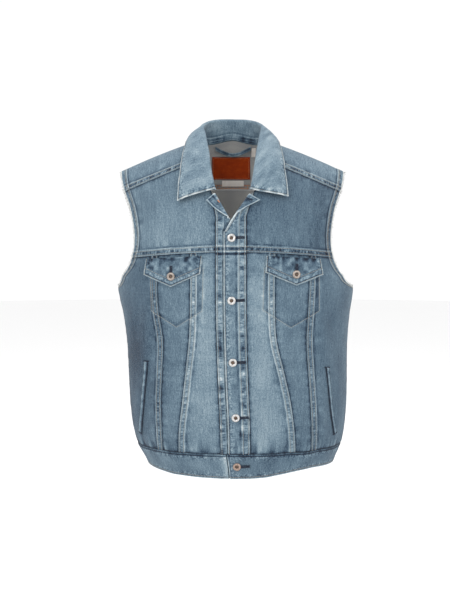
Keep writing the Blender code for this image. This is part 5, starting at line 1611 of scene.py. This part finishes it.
def denim_face():
    made, tree, shader = new_material("denim_face")
    h, v, tone = attribute(tree, "cloth")
    fell_v, fell_h, seam_v = attribute(tree, "seams")
    seam_h, rim, band = attribute(tree, "rims")
    rib = twill(h, v)
    cloud = noise(tree, (h, v), (60, 80), detail=3.0)
    streak = noise(tree, (h, v), (2.0, 13), detail=3.0)
    slub = noise(tree, (h, v, 3.0), (5.5, 60, 1), detail=1.0)
    grain = noise(tree, (h, v, 7.0), (2.3, 3.4, 1), detail=3.0, roughness=0.75)
    weave = (cloud - 0.5) * 0.26 + (streak - 0.5) * 0.34 + (slub - 0.5) * 0.14
    weave = weave + (grain - 0.5) * 0.70 + rib * 0.03 + tone + 0.44
    marks = seam_marks(tree, v, fell_v, seam_v, *LADDERS["v"])
    marks = marks + seam_marks(tree, h, fell_h, seam_h, *LADDERS["h"])
    patch = (noise(tree, (h, v, 23.0), (4.2, 4.2, 1), detail=1.0) - 0.5) * 2.2
    # Rims: a pale worn edge, painted shade in the groove of the stitch row, and pale and dark patches
    # inside it. Armhole bands: a pale edge, patches, a painted highlight on the fold and painted shade
    # just past the band.
    marks = marks + rim.decay(1.1) * 0.42 + rim.bell(1.6, 0.8) * 0.10
    marks = marks - rim.bell(3.6, 1.3) * 0.20 + rim.bell(7.5, 5.0) * patch * 0.44
    marks = marks + band.decay(1.5) * 0.14 + band.bell(6.0, 4.5) * (patch * 0.5 - 0.08)
    marks = marks - band.bell(14.6, 1.4) * 0.22 + band.bell(12.2, 0.9) * 0.20
    height = rib * 0.5 + grain * 0.9 + streak * 0.5 + marks * 0.8
    finish_shader(tree, shader, weave + marks, DENIM_STOPS, 0.86, 0.22, height, 0.45, 0.45)
    shader.inputs["Sheen Weight"].default_value = SHEEN
    shader.inputs["Sheen Roughness"].default_value = SHEEN_ROUGHNESS
    return made


def denim_back():
    """The reverse of the cloth: mostly the undyed weft, with flecks of the blue warp."""
    made, tree, shader = new_material("denim_back")
    h, v, _ = attribute(tree, "cloth")
    fell_v, fell_h, seam_v = attribute(tree, "seams")
    seam_h, rim, band = attribute(tree, "rims")
    rib = twill(h, v, -1.0)
    cloud = noise(tree, (h, v), (40, 50), detail=3.0)
    fleck = noise(tree, (h, v, 5.0), (1.7, 2.6, 1), roughness=0.6)
    t = (cloud - 0.5) * 0.3 + (fleck - 0.5) * 0.5 + rib * 0.06 + 0.5
    t = t - seam_v.decay(3.0) * 0.25 - seam_h.decay(3.0) * 0.2
    t = t - fell_v.below(FELL_WIDTH, FELL_WIDTH + 1.0) * 0.08
    t = t - fell_h.below(FELL_WIDTH, FELL_WIDTH + 1.0) * 0.05
    t = t - rim.decay(2.0) * 0.1 - band.decay(4.0) * 0.1
    finish_shader(tree, shader, t, BACK_STOPS, 0.92, 0.15, rib * 0.6 + fleck, 0.4, 0.4)
    return made


def object_place(tree):
    """The place on the object, in millimetres."""
    made = tree.nodes.new("ShaderNodeTexCoord")
    parts = tree.nodes.new("ShaderNodeSeparateXYZ")
    tree.links.new(made.outputs["Object"], parts.inputs[0])
    return [Value(tree, socket) * (1 / MM) for socket in parts.outputs]


def plain(name, dark, light, roughness, pitch, metallic=0.0, strength=0.2, depth=0.1):
    """A material that runs from dark to light in patches about pitch millimetres wide."""
    made, tree, shader = new_material(name)
    value = noise(tree, object_place(tree), (pitch,) * 3, detail=3.0, roughness=0.6)
    worn = value * 0.2 + (roughness - 0.1)
    stops = ((0.3, dark), (0.7, light))
    finish_shader(tree, shader, value, stops, worn, None, value, strength, depth)
    shader.inputs["Metallic"].default_value = metallic
    return made


def leather_face():
    made, tree, shader = new_material("patch_leather")
    place = object_place(tree)
    cells = tree.nodes.new("ShaderNodeTexVoronoi")
    cells.feature = "DISTANCE_TO_EDGE"
    cells.inputs["Scale"].default_value = 1.0
    join_place(tree, place, (1 / 0.9,) * 3, cells)
    creased = Value(tree, cells.outputs[0]).below(0.0, 0.16)
    cloud = noise(tree, place, (16, 16, 10), detail=4.0)
    fine = noise(tree, place, (1.6,) * 3, detail=3.0)
    t = (cloud - 0.5) * 0.9 + (fine - 0.5) * 0.3 + 0.5 - creased * 0.08
    height = fine * 0.6 - creased * 0.6
    finish_shader(tree, shader, t, LEATHER_STOPS, 0.55, 0.12, height, 0.35, 0.25)
    return made


def label_face():
    """Plain woven tape: fine crossing ribs, nothing written on it."""
    made, tree, shader = new_material("label_tape")
    h, v, _ = attribute(tree, "cloth")
    across = (h * (2 * math.pi / 0.9)).join("SINE")
    down = (v * (2 * math.pi / 0.7)).join("SINE")
    cloud = noise(tree, (h, v), (9, 9), detail=3.0)
    t = across * 0.06 + down * 0.08 + (cloud - 0.5) * 0.5 + 0.5
    height = across * 0.5 + down * 0.5
    finish_shader(tree, shader, t, LABEL_STOPS, 0.8, None, height, 0.3, 0.15)
    return made


# Threads, strands and buttons.


class Threads:
    """Short rods gathered into one mesh: stitches, buttonhole threads or frayed strands."""

    def __init__(self):
        self.points, self.faces = [], []

    def rod(self, path, radius, normal, taper=0.5, sides=4):
        path = np.asarray(path, float)
        first = len(self.points)
        count = len(path)
        ways = np.gradient(path, axis=0)
        for k in range(count):
            way = ways[k] / (np.linalg.norm(ways[k]) + 1e-9)
            across = np.cross(way, normal)
            across /= np.linalg.norm(across) + 1e-9
            upward = np.cross(across, way)
            size = radius * (taper if k in (0, count - 1) else 1.0)
            for n in range(sides):
                a = 2 * math.pi * (n + 0.5) / sides
                self.points.append(path[k] + size * (math.cos(a) * across + math.sin(a) * upward))
        for k in range(count - 1):
            for n in range(sides):
                m = (n + 1) % sides
                a, b = first + k * sides, first + (k + 1) * sides
                self.faces.append((a + n, a + m, b + m, b + n))
        last = first + (count - 1) * sides
        self.faces.append(tuple(first + n for n in reversed(range(sides))))
        self.faces.append(tuple(last + n for n in range(sides)))

    def stitch(self, a, b, normal, radius, stand):
        middle = (a + b) / 2 + normal * stand
        self.rod((a - normal * 0.15, middle, b - normal * 0.15), radius, normal, 0.75)

    def row(self, points, normals, pitch=3.3, gap=0.7, radius=0.42, stand=0.35):
        """A row of stitches along a line."""
        length = run_length(points)
        count = max(1, int(length[-1] / pitch))
        for k in range(count):
            start = (k + 0.0) * length[-1] / count + gap / 2
            end = (k + 1.0) * length[-1] / count - gap / 2
            way = line_at(end, length, normals)
            way /= np.linalg.norm(way)
            ends = [line_at(at, length, points) + way * 0.12 for at in (start, end)]
            self.stitch(*ends, way, radius, stand)

    def across_front(self, middle, across, heights, lift, radius, beyond=False):
        """A thread over a place on the fronts, by distances across it and heights. Beyond is
        set where a placket's cloth stands out further past its middle."""
        away, height = np.array(heights, float).T
        x, z = (np.asarray(middle) + across * away[:, None]).T
        point, normal = front_skin(x, z)
        height = height + (lift + (hole_lift(x) if beyond else 0.0))
        self.rod(point + normal * height[:, None], radius, normal[1], 0.8)

    def build(self, name, material, slot):
        made = make_mesh(name, self.points, self.faces)
        made.data.materials.append(material)
        return finish_piece(made, ())


# Buttons and stitching on the fronts. Each button has its X, its height and what it stands on.
BUTTONS = {
    "button_1": (-2.8, -203.0, PLACKET_RISE),
    "button_2": (-2.6, -327.6, PLACKET_RISE),
    "button_3": (0.1, -452.0, PLACKET_RISE),
    "button_4": (6.0, -565.0, PLACKET_RISE),
    "button_5": (8.8, -669.0, HEM_RISE),
    "flap_button_r": (-122.7, -280.0, FLAP_LIFT + FLAP_CLOTH),
    "flap_button_l": (126.0, -276.0, FLAP_LIFT + FLAP_CLOTH),
}
HOLE_START = 3.0
HOLE_REACH = 26.0
HOLE_WIDTH = 2.7
HOLE_PITCH = 0.62
FLAP_HOLE_REACH = 21.0
FLAP_HOLE_WIDTH = 2.6
FLAP_HOLE_LIFT = 1.3
THREAD_RADIUS = 0.40
TACK_PITCH = 0.55
TACK_LENGTH = 11.0
TACK_WIDTH = 2.4
TACK_TILTS = (-4, 30)

# Threads across a line on a lapel: its start and end, X and height, and the threads' length.
LAPEL_BAR_PITCH = 0.6
LAPEL_HOLE = ((26.0, -122.0), (38.0, -128.5), 2.2)
LAPEL_TACK = ((-30.0, -128.0), (-26.0, -132.5), 1.9)

# The chest seam's rows where they cross the plackets, from X to X.
CROSSINGS = ((-31.5, -19.5), (-14.5, 33.5))
CROSSING_LIFT = 0.9


def ridge_height(x, z):
    """How far the felled seams of the fronts stand out at x and z."""
    x, z = np.asarray(x, float), np.asarray(z, float)
    found = np.zeros(x.shape)
    for hand, letter in HANDS:
        inner, outer = front_seam("inner_" + letter, z), front_seam("outer_" + letter, z)
        for away in (hand * (inner - x), hand * (x - outer)):
            found = np.where((away > -1) & (away < FELL_WIDTH + 1), FELL_RISE, found)
    return found


def front_line(corners, step=2.0):
    """A line through corners on the fronts, with its normals."""
    corners = np.array(corners, float)
    length = run_length(corners)
    x, z = line_at(np.arange(0, length[-1], step), length, corners).T
    point, normal = front_skin(x, z)
    return point + normal * (ridge_height(x, z) + 0.1)[:, None], normal


def hole_lift(x):
    """How far the cloth of a placket stands out beyond its middle."""
    return FELL_RISE * ease(x, 8.0, 11.5) + 0.25


def buttonhole(threads, start, end, lift, width=HOLE_WIDTH):
    """A worked buttonhole: close threads across both sides of a slot, and a bar at its end."""
    start, end = np.array(start, float), np.array(end, float)
    length = np.linalg.norm(end - start)
    way = (end - start) / length
    across = np.array((-way[1], way[0]))
    level = abs(way[0]) > abs(way[1])
    for k in range(int(length / HOLE_PITCH)):
        at = start + way * (k * HOLE_PITCH)
        for sign in (-1, 1):
            reach = sign * width * (1 + 0.10 * CHANCE.uniform(-1, 1))
            heights = ((0.08 * reach, 0.2), (0.55 * reach, 0.85), (reach, 0.05))
            threads.across_front(at, across, heights, lift, THREAD_RADIUS, level)
    for k in range(3):
        heights = ((-width * 1.1, 0.1), (0, 0.9), (width * 1.1, 0.1))
        threads.across_front(end - way * (k * 0.7), across, heights, lift, THREAD_RADIUS, level)


def bar_tack(threads, middle, tilt, lift):
    """Close threads across a short line on the fronts."""
    a = math.radians(tilt)
    way = np.array((math.cos(a), math.sin(a)))
    across = np.array((-way[1], way[0]))
    heights = ((-TACK_WIDTH / 2, 0.1), (0, 0.75), (TACK_WIDTH / 2, 0.1))
    for k in range(int(TACK_LENGTH / TACK_PITCH)):
        at = np.array(middle) + way * (k * TACK_PITCH - TACK_LENGTH / 2)
        threads.across_front(at, across, heights, lift, 0.36)


def lapel_bar(threads, piece, start, end, width):
    """Close threads across a line on a lapel, whose turned face is its piece's inner one."""
    start, end = np.array(start), np.array(end)
    length = np.linalg.norm(end - start)
    across = np.array((start[1] - end[1], 0.0, end[0] - start[0])) / length
    face = piece.inner[ROWS_STRIP + 6 :, -FLAT_CELLS:]
    ways = -piece.normal[ROWS_STRIP + 6 :, -FLAT_CELLS:]
    for share in np.linspace(0, 1, int(length / LAPEL_BAR_PITCH)):
        x, z = start + (end - start) * share
        near = np.argmin(np.hypot(face[..., 0] - x, face[..., 2] - z))
        i, j = np.unravel_index(near, face.shape[:2])
        middle = np.array((x, face[i, j, 1], z)) + ways[i, j] * 0.5
        side = across * width / 2
        threads.rod([middle - side, middle + ways[i, j] * 0.5, middle + side], 0.36, ways[i, j], 0.8)


# Buttons: the radius and height of each ring of the shell and of its sunk middle.
BUTTON_SEGMENTS = 56
SHELL_PROFILE = (
    (0.0, 0.0),
    (7.4, 0.0),
    (8.1, 0.5),
    (8.35, 1.2),
    (8.1, 1.9),
    (7.3, 2.5),
    (6.3, 2.8),
    (5.3, 2.75),
    (4.4, 2.4),
    (3.8, 1.9),
    (3.5, 1.35),
    (3.4, 0.9),
    (0.0, 0.9),
)
CORE_PROFILE = (
    (3.35, 0.95),
    (3.3, 1.25),
    (2.9, 1.5),
    (2.4, 1.45),
    (2.1, 1.15),
    (1.7, 1.15),
    (1.2, 1.6),
    (0.6, 1.85),
    (0.0, 1.9),
)


def lathe(points, faces, base, normal, profile, dents):
    """Add a turned profile to a mesh in the making."""
    sideways = unit(np.cross(normal, (0, 0, 1)))
    upward = np.cross(sideways, normal)
    first = len(points)
    for radius, height in profile:
        for k in range(BUTTON_SEGMENTS):
            a = 2 * math.pi * k / BUTTON_SEGMENTS
            worn = 1 + dents * 0.012 * math.sin(3 * a + dents) + dents * 0.008 * math.sin(7 * a)
            out = math.cos(a) * sideways + math.sin(a) * upward
            points.append(base + normal * height + radius * worn * out)
    for i in range(len(profile) - 1):
        a, b = first + i * BUTTON_SEGMENTS, first + (i + 1) * BUTTON_SEGMENTS
        for k in range(BUTTON_SEGMENTS):
            n = (k + 1) % BUTTON_SEGMENTS
            faces.append((a + k, a + n, b + n, b + k))


def make_button(name, x, z, lift, shell, core):
    base, normal = front_skin(x, z)
    base = base + normal * (lift + SEAM_GAP)
    points, faces = [], []
    lathe(points, faces, base, normal, SHELL_PROFILE, 1.0)
    on_shell = len(faces)
    lathe(points, faces, base, normal, CORE_PROFILE, 0.0)
    index = (np.arange(len(faces)) >= on_shell).astype(np.int32)
    made = make_mesh(name + "_shell", points, faces)
    made.data.materials.append(shell)
    made.data.materials.append(core)
    made.data.polygons.foreach_set("material_index", index)
    finish_piece(made, (name,))


# Frayed armhole edges: a narrow strip of parted cloth, and strands rooted in it.
RING_PITCH = 1.6
STUB_WIDTH = 2.6
STUB_SHARES = (0.0, 0.35, 0.7, 1.0)
STRAND_PITCH = 1.05
STRAND_REACH = (2.2, 6.2)
LONG_THREADS = 60


def armhole_loop(letter, hand, pieces):
    """The armhole's edge from the shoulder seam down the front, up the back and over."""
    yoke, front = pieces["front_yoke_" + letter], pieces["front_side_" + letter]
    back, over_yoke = pieces["back_side_" + letter], pieces["back_yoke"]
    column = -1 if hand > 0 else 0
    runs = (
        (yoke, slice(None), -1, -1),
        (front, slice(1, ARMHOLE_ROWS), -1, 1),
        (back, slice(0, ARMHOLE_ROWS - 1 + rise_rows(pieces)), -1, -1),
        (over_yoke, slice(1, -1), column, -1),
    )
    points = np.concatenate([piece.outer[rows, at][::way] for piece, rows, at, way in runs])
    normals = np.concatenate([piece.normal[rows, at][::way] for piece, rows, at, way in runs])
    closed = [np.concatenate((line, line[:1])) for line in (points, normals)]
    length = run_length(closed[0])
    at = np.linspace(0, length[-1], int(length[-1] / RING_PITCH) + 1)
    points, normals = (line_at(at, length, line) for line in closed)
    return points[:-1], unit(normals)[:-1]


def rise_rows(pieces):
    """How many more rows the back's side panels have, above chest level."""
    return len(pieces["back_side_l"].outer) - len(pieces["front_side_l"].outer)


def smooth_ring(values, rounds):
    for _ in range(rounds):
        values = (np.roll(values, 1, axis=0) + 2 * values + np.roll(values, -1, axis=0)) / 4
    return values


def armhole_ring(letter, hand, pieces):
    """Points round an armhole, with the ways along it, into the opening and off the cloth."""
    points, normals = armhole_loop(letter, hand, pieces)
    points = smooth_ring(points, 1)
    tangent = unit(np.roll(points, -1, axis=0) - np.roll(points, 1, axis=0))
    ways = np.cross(tangent, normals)
    if np.sum(ways * (points.mean(axis=0) - points)) < 0:
        ways = -ways
    return points, tangent, unit(smooth_ring(ways, 10)), smooth_ring(normals, 6)


def armhole_lip(letter, ring, seed, raw):
    points, _, ways, normals = ring
    s = np.arange(len(points)) * RING_PITCH
    reach = STUB_WIDTH * (0.72 + 0.28 * wobble(s, 3.4, seed))
    outer, inner = [], []
    for share in STUB_SHARES:
        wave = 0.5 * wobble(s, 7.0, seed + 1) * share
        place = points + ways * (reach * share + SEAM_GAP)[:, None]
        outer.append(place + normals * (wave - 0.1)[:, None])
        inner.append(place + normals * (wave - 1.2 + 0.5 * share)[:, None])
    outer, inner = (np.array(rows) for rows in (outer, inner))
    outer, inner = (np.concatenate((rows, rows[:, :1]), axis=1) for rows in (outer, inner))
    cloth = make_wall("armhole_lip_" + letter, outer, inner)[0]
    cloth.data.materials.append(raw)
    finish_piece(cloth, ("armhole_edge_" + letter,))


def armhole_fray(letter, ring, seed, raw):
    points, tangent, ways, normals = ring
    count = len(points)
    fray = Threads()
    for k in range(int(count * RING_PITCH / STRAND_PITCH)):
        place = (k + CHANCE.uniform(-0.4, 0.4)) * STRAND_PITCH / RING_PITCH
        i = int(place) % count
        thick = 0.75 + 0.35 * wobble(place * RING_PITCH, 9.0, seed + 2)
        length = CHANCE.uniform(*STRAND_REACH) * thick
        swing = CHANCE.uniform(-0.55, 0.55)
        bend = CHANCE.uniform(-0.25, 0.4)
        root = points[i] + ways[i] * CHANCE.uniform(0.6, 2.6) - normals[i] * 0.5
        path = []
        for share in STUB_SHARES:
            turn = tangent[i] * swing * share**2 + normals[i] * bend * share**2
            path.append(root + (ways[i] * share + turn) * length)
        fray.rod(path, CHANCE.uniform(0.16, 0.30), normals[i], 0.6, 3)
    for _ in range(LONG_THREADS):
        i = int(CHANCE.uniform(0, count))
        run = int(CHANCE.uniform(6, 16))
        depth = CHANCE.uniform(0.8, 3.4)
        path = []
        for k in range(0, run, 2):
            j = (i + k) % count
            drift = 0.9 * wobble(np.array((i * 7.0 + k)), 3.0, seed + 3)
            lift = CHANCE.uniform(-0.3, 0.5)
            path.append(points[j] + ways[j] * (depth + drift) + normals[j] * lift)
        fray.rod(path, 0.24, normals[i], 0.7, 3)
    fray.build("armhole_fray_" + letter, raw, "raw_cotton")


# Pieces inside the back of the neck: X from and to, and the heights of the top and the foot.
PATCH = ((-44.0, 40.0), (-27.0, -75.0))
WASH_LABEL = ((-22.0, 26.0), (-78.0, -90.5))
SIZE_LABEL = ((43.0, 52.0), (-9.0, -27.0))
LOOP_ENDS = (-37.0, 41.0)
LOOP_TOP = -6.0
LOOP_SAG = 13.0
LOOP_WIDTH = 8.0
LOOP_CLOTH = 1.5
LOOP_STAND = 4.0
LOOP_COLUMNS = 60
INSIDE = DENIM + 0.8


def inside_piece(name, extent, thickness, columns, rows, puff):
    """A patch or label that lies inside the back yoke."""
    (x0, x1), (top, foot) = extent
    x = x0 + (x1 - x0) * columns
    w = np.array([[profile_distance(v, top + (foot - top) * t, 1) for v in x] for t in rows])
    xs = np.broadcast_to(x, w.shape)
    point, normal = over_skin(xs, w)
    edge = np.min(list(distances(point).values()), axis=0)
    lift = INSIDE + thickness + puff * (ease(edge, 0, 1.6) - 1) + 0.3 * puff * rumple(xs, w, 14.0, 91)
    inner = point - normal * INSIDE
    return Cloth(name, (point, -normal), (xs, w), {}, thickness, 0.0, lift, inner)


def hanger_loop():
    """A loop of tape that hangs from its two ends inside the back of the neck."""
    x = np.linspace(LOOP_ENDS[0], LOOP_ENDS[1], LOOP_COLUMNS)
    share = np.sin(np.linspace(0, math.pi, LOOP_COLUMNS))
    top = np.array([profile_distance(v, LOOP_TOP, 1) for v in x]) + LOOP_SAG * share
    rows = np.array((0, 0.12, 0.3, 0.5, 0.7, 0.88, 1.0))
    w = np.array([top + LOOP_WIDTH * t for t in rows])
    xs = np.broadcast_to(x, w.shape)
    point, normal = over_skin(xs, w)
    stand = INSIDE + LOOP_STAND * share
    drop = np.array((0, 0, LOOP_WIDTH)) * rows[:, None, None]
    hung = point[:1] - normal[:1] * stand[None, :, None] - drop
    facing = np.broadcast_to(np.array((0.0, -0.94, 0.34)), hung.shape)
    kinds = {"top": ("rim", 520, 1.4), "bottom": ("rim", 521, 1.4)}
    round_edges = np.array((-0.4, 0, 0.1, 0.15, 0.1, 0, -0.4))[:, None]
    tone = -0.16 + 0.20 * wobble(xs, 6.0, 522)
    lift = LOOP_CLOTH + round_edges + 0 * xs
    return Cloth("hanger_loop", (hung, facing), (xs, w), kinds, LOOP_CLOTH, tone, lift, hung)


# Colours of plain materials: dark, light, roughness, pitch and metallic share.
PLAIN = {
    "thread_tan": ((0.24, 0.23, 0.20), (0.52, 0.50, 0.45), 0.8, 1.8, 0.0),
    "thread_orange": ((0.50, 0.19, 0.09), (0.74, 0.36, 0.20), 0.8, 3.0, 0.0),
    "thread_navy": ((0.004, 0.007, 0.018), (0.016, 0.024, 0.050), 0.8, 2.0, 0.0),
    "raw_cotton_fray": ((0.36, 0.38, 0.39), (0.74, 0.74, 0.71), 0.9, 5.0, 0.0),
    "button_nickel": ((0.44, 0.43, 0.42), (0.68, 0.67, 0.66), 0.36, 4.0, 0.9),
    "button_worn": ((0.24, 0.20, 0.175), (0.44, 0.39, 0.35), 0.42, 3.0, 0.9),
    "button_copper": ((0.25, 0.175, 0.14), (0.46, 0.35, 0.30), 0.42, 3.0, 0.9),
    "button_core": ((0.05, 0.040, 0.036), (0.19, 0.135, 0.10), 0.5, 2.5, 0.8),
}

# Pieces that show the outer cloth on both faces.
TWO_FACED = (
    "placket_l",
    "placket_r",
    "hem_band_l",
    "hem_band_r",
    "hem_band_back",
    "collar",
    "flap_l",
    "flap_r",
    "hanger_loop",
)


def make_materials():
    """Every material of the vest, by name."""
    made = {"face": denim_face(), "back": denim_back()}
    for name, (dark, light, roughness, pitch, metallic) in PLAIN.items():
        bumps = (0.15, 0.05) if metallic else (0.2, 0.1)
        made[name] = plain(name, dark, light, roughness, pitch, metallic, *bumps)
    made["leather"], made["label"] = leather_face(), label_face()
    return made


def make_cloth(materials):
    """Every piece of cloth, leather and tape, by name."""
    pieces = make_lower_panels()
    angles, heights = pieces["back_side_l"].grid
    end_x = float(wrap_raw(angles[0, -1], heights[0, -1])[0][0])
    pieces["back_yoke"] = back_yoke(end_x)
    for hand, letter in HANDS:
        pieces["front_yoke_" + letter] = front_yoke(hand, letter)
        pieces["placket_" + letter] = placket(hand, letter)
        pieces["flap_" + letter] = flap(letter)
        pieces["welt_" + letter] = welt(letter)
    for piece in (*make_hem(), make_collar(), hanger_loop()):
        pieces[piece.name] = piece
    face, back = materials["face"], materials["back"]
    for name, piece in pieces.items():
        piece.dress(face, face if name in TWO_FACED else back)
    fine, coarse = np.linspace(0, 1, 40), np.linspace(0, 1, 14)
    plan = (
        ("neck_patch", PATCH, 1.5, fine, fine, 0.5, "leather"),
        ("wash_label", WASH_LABEL, 0.8, fine, coarse, 0.2, "label"),
        ("size_label", SIZE_LABEL, 0.8, coarse, fine, 0.2, "label"),
    )
    for *details, slot in plan:
        piece = inside_piece(*details)
        pieces[piece.name] = piece
        piece.dress(materials[slot], materials[slot], "laid", ("back_yoke",), slot)
    return pieces


def sew(threads, piece, edges, rows, count=None):
    """Rows of stitches beside edges of a piece, each up to a count of the grid's rows."""
    for edge in edges:
        for row in rows:
            points, normals = piece.line(edge, row)
            threads.row(points[:count], normals[:count])


def sew_shell(pieces, seams, dark):
    """The seams, rims and bands that show from outside."""
    for letter in ("r", "l"):
        yoke, side = pieces["front_yoke_" + letter], pieces["front_side_" + letter]
        back = pieces["back_side_" + letter]
        sew(seams, pieces["front_centre_" + letter], ("right",), FELL_ROWS)
        sew(seams, side, ("left",), FELL_ROWS)
        sew(seams, yoke, ("top",), FELL_ROWS)
        sew(seams, yoke, ("right",), BAND_ROWS)
        sew(seams, side, ("right",), BAND_ROWS, ARMHOLE_ROWS)
        sew(seams, back, ("right",), BAND_ROWS, ARMHOLE_ROWS + rise_rows(pieces))
        sew(seams, pieces["flap_" + letter], ("bottom",), (RIM_ROW, FLAP_BAND))
        sew(seams, pieces["flap_" + letter], ("left", "right"), (RIM_ROW,))
        seams.row(*front_line(POCKETS[letter]))
        sew(dark, pieces["welt_" + letter], ("left", "right"), (WELT_ROW,))
    back_yoke_piece = pieces["back_yoke"]
    sew(seams, pieces["back_centre"], ("left", "right"), FELL_ROWS)
    sew(seams, back_yoke_piece, ("bottom",), FELL_ROWS)
    sew(seams, back_yoke_piece, ("left", "right"), BAND_ROWS)
    shoulder = [back_yoke_piece.line("top", row) for row in FELL_ROWS]
    first = shoulder[0][0]
    away = (np.abs(first[:, 0]) >= SEAM_AT_NECK[0] + 5) & (first[:, 1] < 0)
    for sign in (-1, 1):
        chosen = away & (first[:, 0] * sign > 0)
        for points, normals in shoulder:
            seams.row(points[chosen], normals[chosen])
    for name in ("hem_band_l", "hem_band_r", "hem_band_back"):
        sew(dark, pieces[name], ("top",), (HEM_TOP_ROW,))
        sew(seams, pieces[name], ("bottom",), (HEM_FOOT_ROW,))
    sew(seams, pieces["placket_l"], ("left",), (FIRST_ROW, PLACKET_FELL["l"] - FIRST_ROW))
    sew(seams, pieces["placket_l"], ("right",), (RIM_ROW,))
    sew(seams, pieces["placket_r"], ("left",), (FIRST_ROW,))
    sew(seams, pieces["collar"], ("right", "top", "bottom"), (RIM_ROW,))
    for row in FELL_ROWS:
        height = float(chest_height(0.0)) + row
        for start, end in CROSSINGS:
            points, normals = front_line(((start, height), (end, height)))
            points = points + normals * (PLACKET_RISE + CROSSING_LIFT)
            seams.row(points, normals, radius=0.4)


# Stitches inside the neck: rows along the yoke's seam with bars across them, and the border of
# the patch. Pitch, gap, radius and stand.
YOKE_STITCH = (3.6, 0.5, 0.8, 0.35)
PATCH_STITCH = (3.6, 0.9, 0.36, 0.2)
PATCH_ROW = 2.6
BAR_PITCH = 6.2
BAR_RADIUS = 0.7


def sew_inside(pieces, inside):
    rows = []
    for row in FELL_ROWS:
        points, normals = pieces["back_yoke"].line("bottom", row, True)
        inside.row(points + 0.5 * normals, normals, *YOKE_STITCH)
        rows.append(points)
    length = run_length(rows[0])
    for at in np.arange(BAR_PITCH, length[-1] - BAR_PITCH, BAR_PITCH):
        way = line_at(at, length, normals)
        ends = [line_at(at, length, line) + way * 0.6 for line in rows]
        inside.stitch(*ends, way, BAR_RADIUS, 0.3)


def fasten(pieces, materials, dark, inside):
    """Buttons with their buttonholes, tacks at the hand pockets and bars on the lapels."""
    core = materials["button_core"]
    for name, (x, z, lift) in BUTTONS.items():
        shell, slot = materials["button_nickel"], "button_metal"
        if name.startswith("flap"):
            shell = materials["button_worn"]
            foot, head = (x, z + HOLE_START), (x + 0.5, z + FLAP_HOLE_REACH)
            buttonhole(dark, foot, head, lift + FLAP_HOLE_LIFT, FLAP_HOLE_WIDTH)
        elif name == "button_5":
            shell, slot = materials["button_copper"], "copper"
            buttonhole(dark, (x + HOLE_START, z), (x + HOLE_REACH, z + 1.2), lift)
        else:
            buttonhole(dark, (x + HOLE_START, z), (x + HOLE_REACH, z + 1.0), lift)
        make_button(name, x, z, lift, shell, core)
    for hand, letter in HANDS:
        for (x, z), tilt in zip(WELTS[letter], TACK_TILTS):
            bar_tack(dark, (x - hand * 1.0, z), tilt * hand, WELT_LIFT + DENIM)
    lapel_bar(dark, pieces["placket_l"], *LAPEL_HOLE)
    lapel_bar(inside, pieces["placket_r"], *LAPEL_TACK)


def make_vest():
    """Build the vest. The fray draws from CHANCE before the buttonholes do."""
    materials = make_materials()
    pieces = make_cloth(materials)
    for hand, letter in HANDS:
        seed = 500 if hand > 0 else 510
        ring = armhole_ring(letter, hand, pieces)
        armhole_lip(letter, ring, seed, materials["raw_cotton_fray"])
        armhole_fray(letter, ring, seed, materials["raw_cotton_fray"])
    seams, dark, inside = Threads(), Threads(), Threads()
    sew_shell(pieces, seams, dark)
    sew_inside(pieces, inside)
    seams.build("seam_stitching", materials["thread_tan"], "raw_cotton")
    fasten(pieces, materials, dark, inside)
    dark.build("dark_stitching", materials["thread_navy"], "raw_cotton")
    for edge in EDGES:
        points, normals = pieces["neck_patch"].line(edge, PATCH_ROW)
        inside.row(points[2:-2], normals[2:-2], *PATCH_STITCH)
    inside.build("inside_stitching", materials["thread_orange"], "raw_cotton")


# Camera, lights and floor, in metres, degrees and watts.
CAMERA_AIM = (-0.0155, 0.0, -0.335)
CAMERA_DISTANCE = 2.05
CAMERA_RISE = 4.0
CAMERA_LENS = 58.0
CAMERA_SENSOR = 36.0
FLOOR_HEIGHT = -0.95
FLOOR_RADIUS = 9.0
FLOOR_COLOUR = (0.92, 0.92, 0.92, 1.0)
WORLD_STRENGTH = 1.02
LIGHTS = (
    ("key", (-1.5, -2.2, 1.5), (0, 0, -0.3), (1.6, 1.6), 36.0),
    ("fill", (1.8, -2.0, 0.4), (0, 0, -0.35), (1.8, 1.8), 17.0),
    ("top", (0.2, 0.6, 2.2), (0, 0, -0.2), (1.6, 1.6), 26.0),
)


def place_on_stage(name, data, place, aim):
    """Add a light or a camera that looks at its aim."""
    made = bpy.data.objects.new(name, data)
    made.location = place
    made.rotation_euler = (Vector(aim) - Vector(place)).to_track_quat("-Z", "Y").to_euler()
    bpy.context.scene.collection.objects.link(made)
    return made


def stage():
    """Camera, floor, sky and lights for the picture."""
    scene = bpy.context.scene
    scene.view_settings.view_transform = "Standard"
    data = bpy.data.cameras.new("camera")
    data.lens = CAMERA_LENS
    data.sensor_width = CAMERA_SENSOR
    rise = math.radians(CAMERA_RISE)
    away = Vector((0, -math.cos(rise), math.sin(rise))) * CAMERA_DISTANCE
    scene.camera = place_on_stage("camera", data, Vector(CAMERA_AIM) + away, CAMERA_AIM)
    bpy.ops.mesh.primitive_circle_add(
        vertices=96, radius=FLOOR_RADIUS, fill_type="NGON", location=(0, 0, FLOOR_HEIGHT)
    )
    floor = bpy.context.object
    floor.name = "floor"
    made, _, shader = new_material("floor_pale")
    shader.inputs["Base Color"].default_value = FLOOR_COLOUR
    shader.inputs["Roughness"].default_value = 0.9
    floor.data.materials.append(made)
    world = bpy.data.worlds.new("studio")
    world.use_nodes = True
    background = world.node_tree.nodes["Background"]
    background.inputs["Color"].default_value = (1.0, 1.0, 1.0, 1.0)
    background.inputs["Strength"].default_value = WORLD_STRENGTH
    scene.world = world
    for name, place, aim, size, power in LIGHTS:
        data = bpy.data.lights.new(name, "AREA")
        data.shape = "RECTANGLE"
        data.size, data.size_y = size
        data.energy = power
        place_on_stage(name, data, place, aim)


make_vest()
stage()
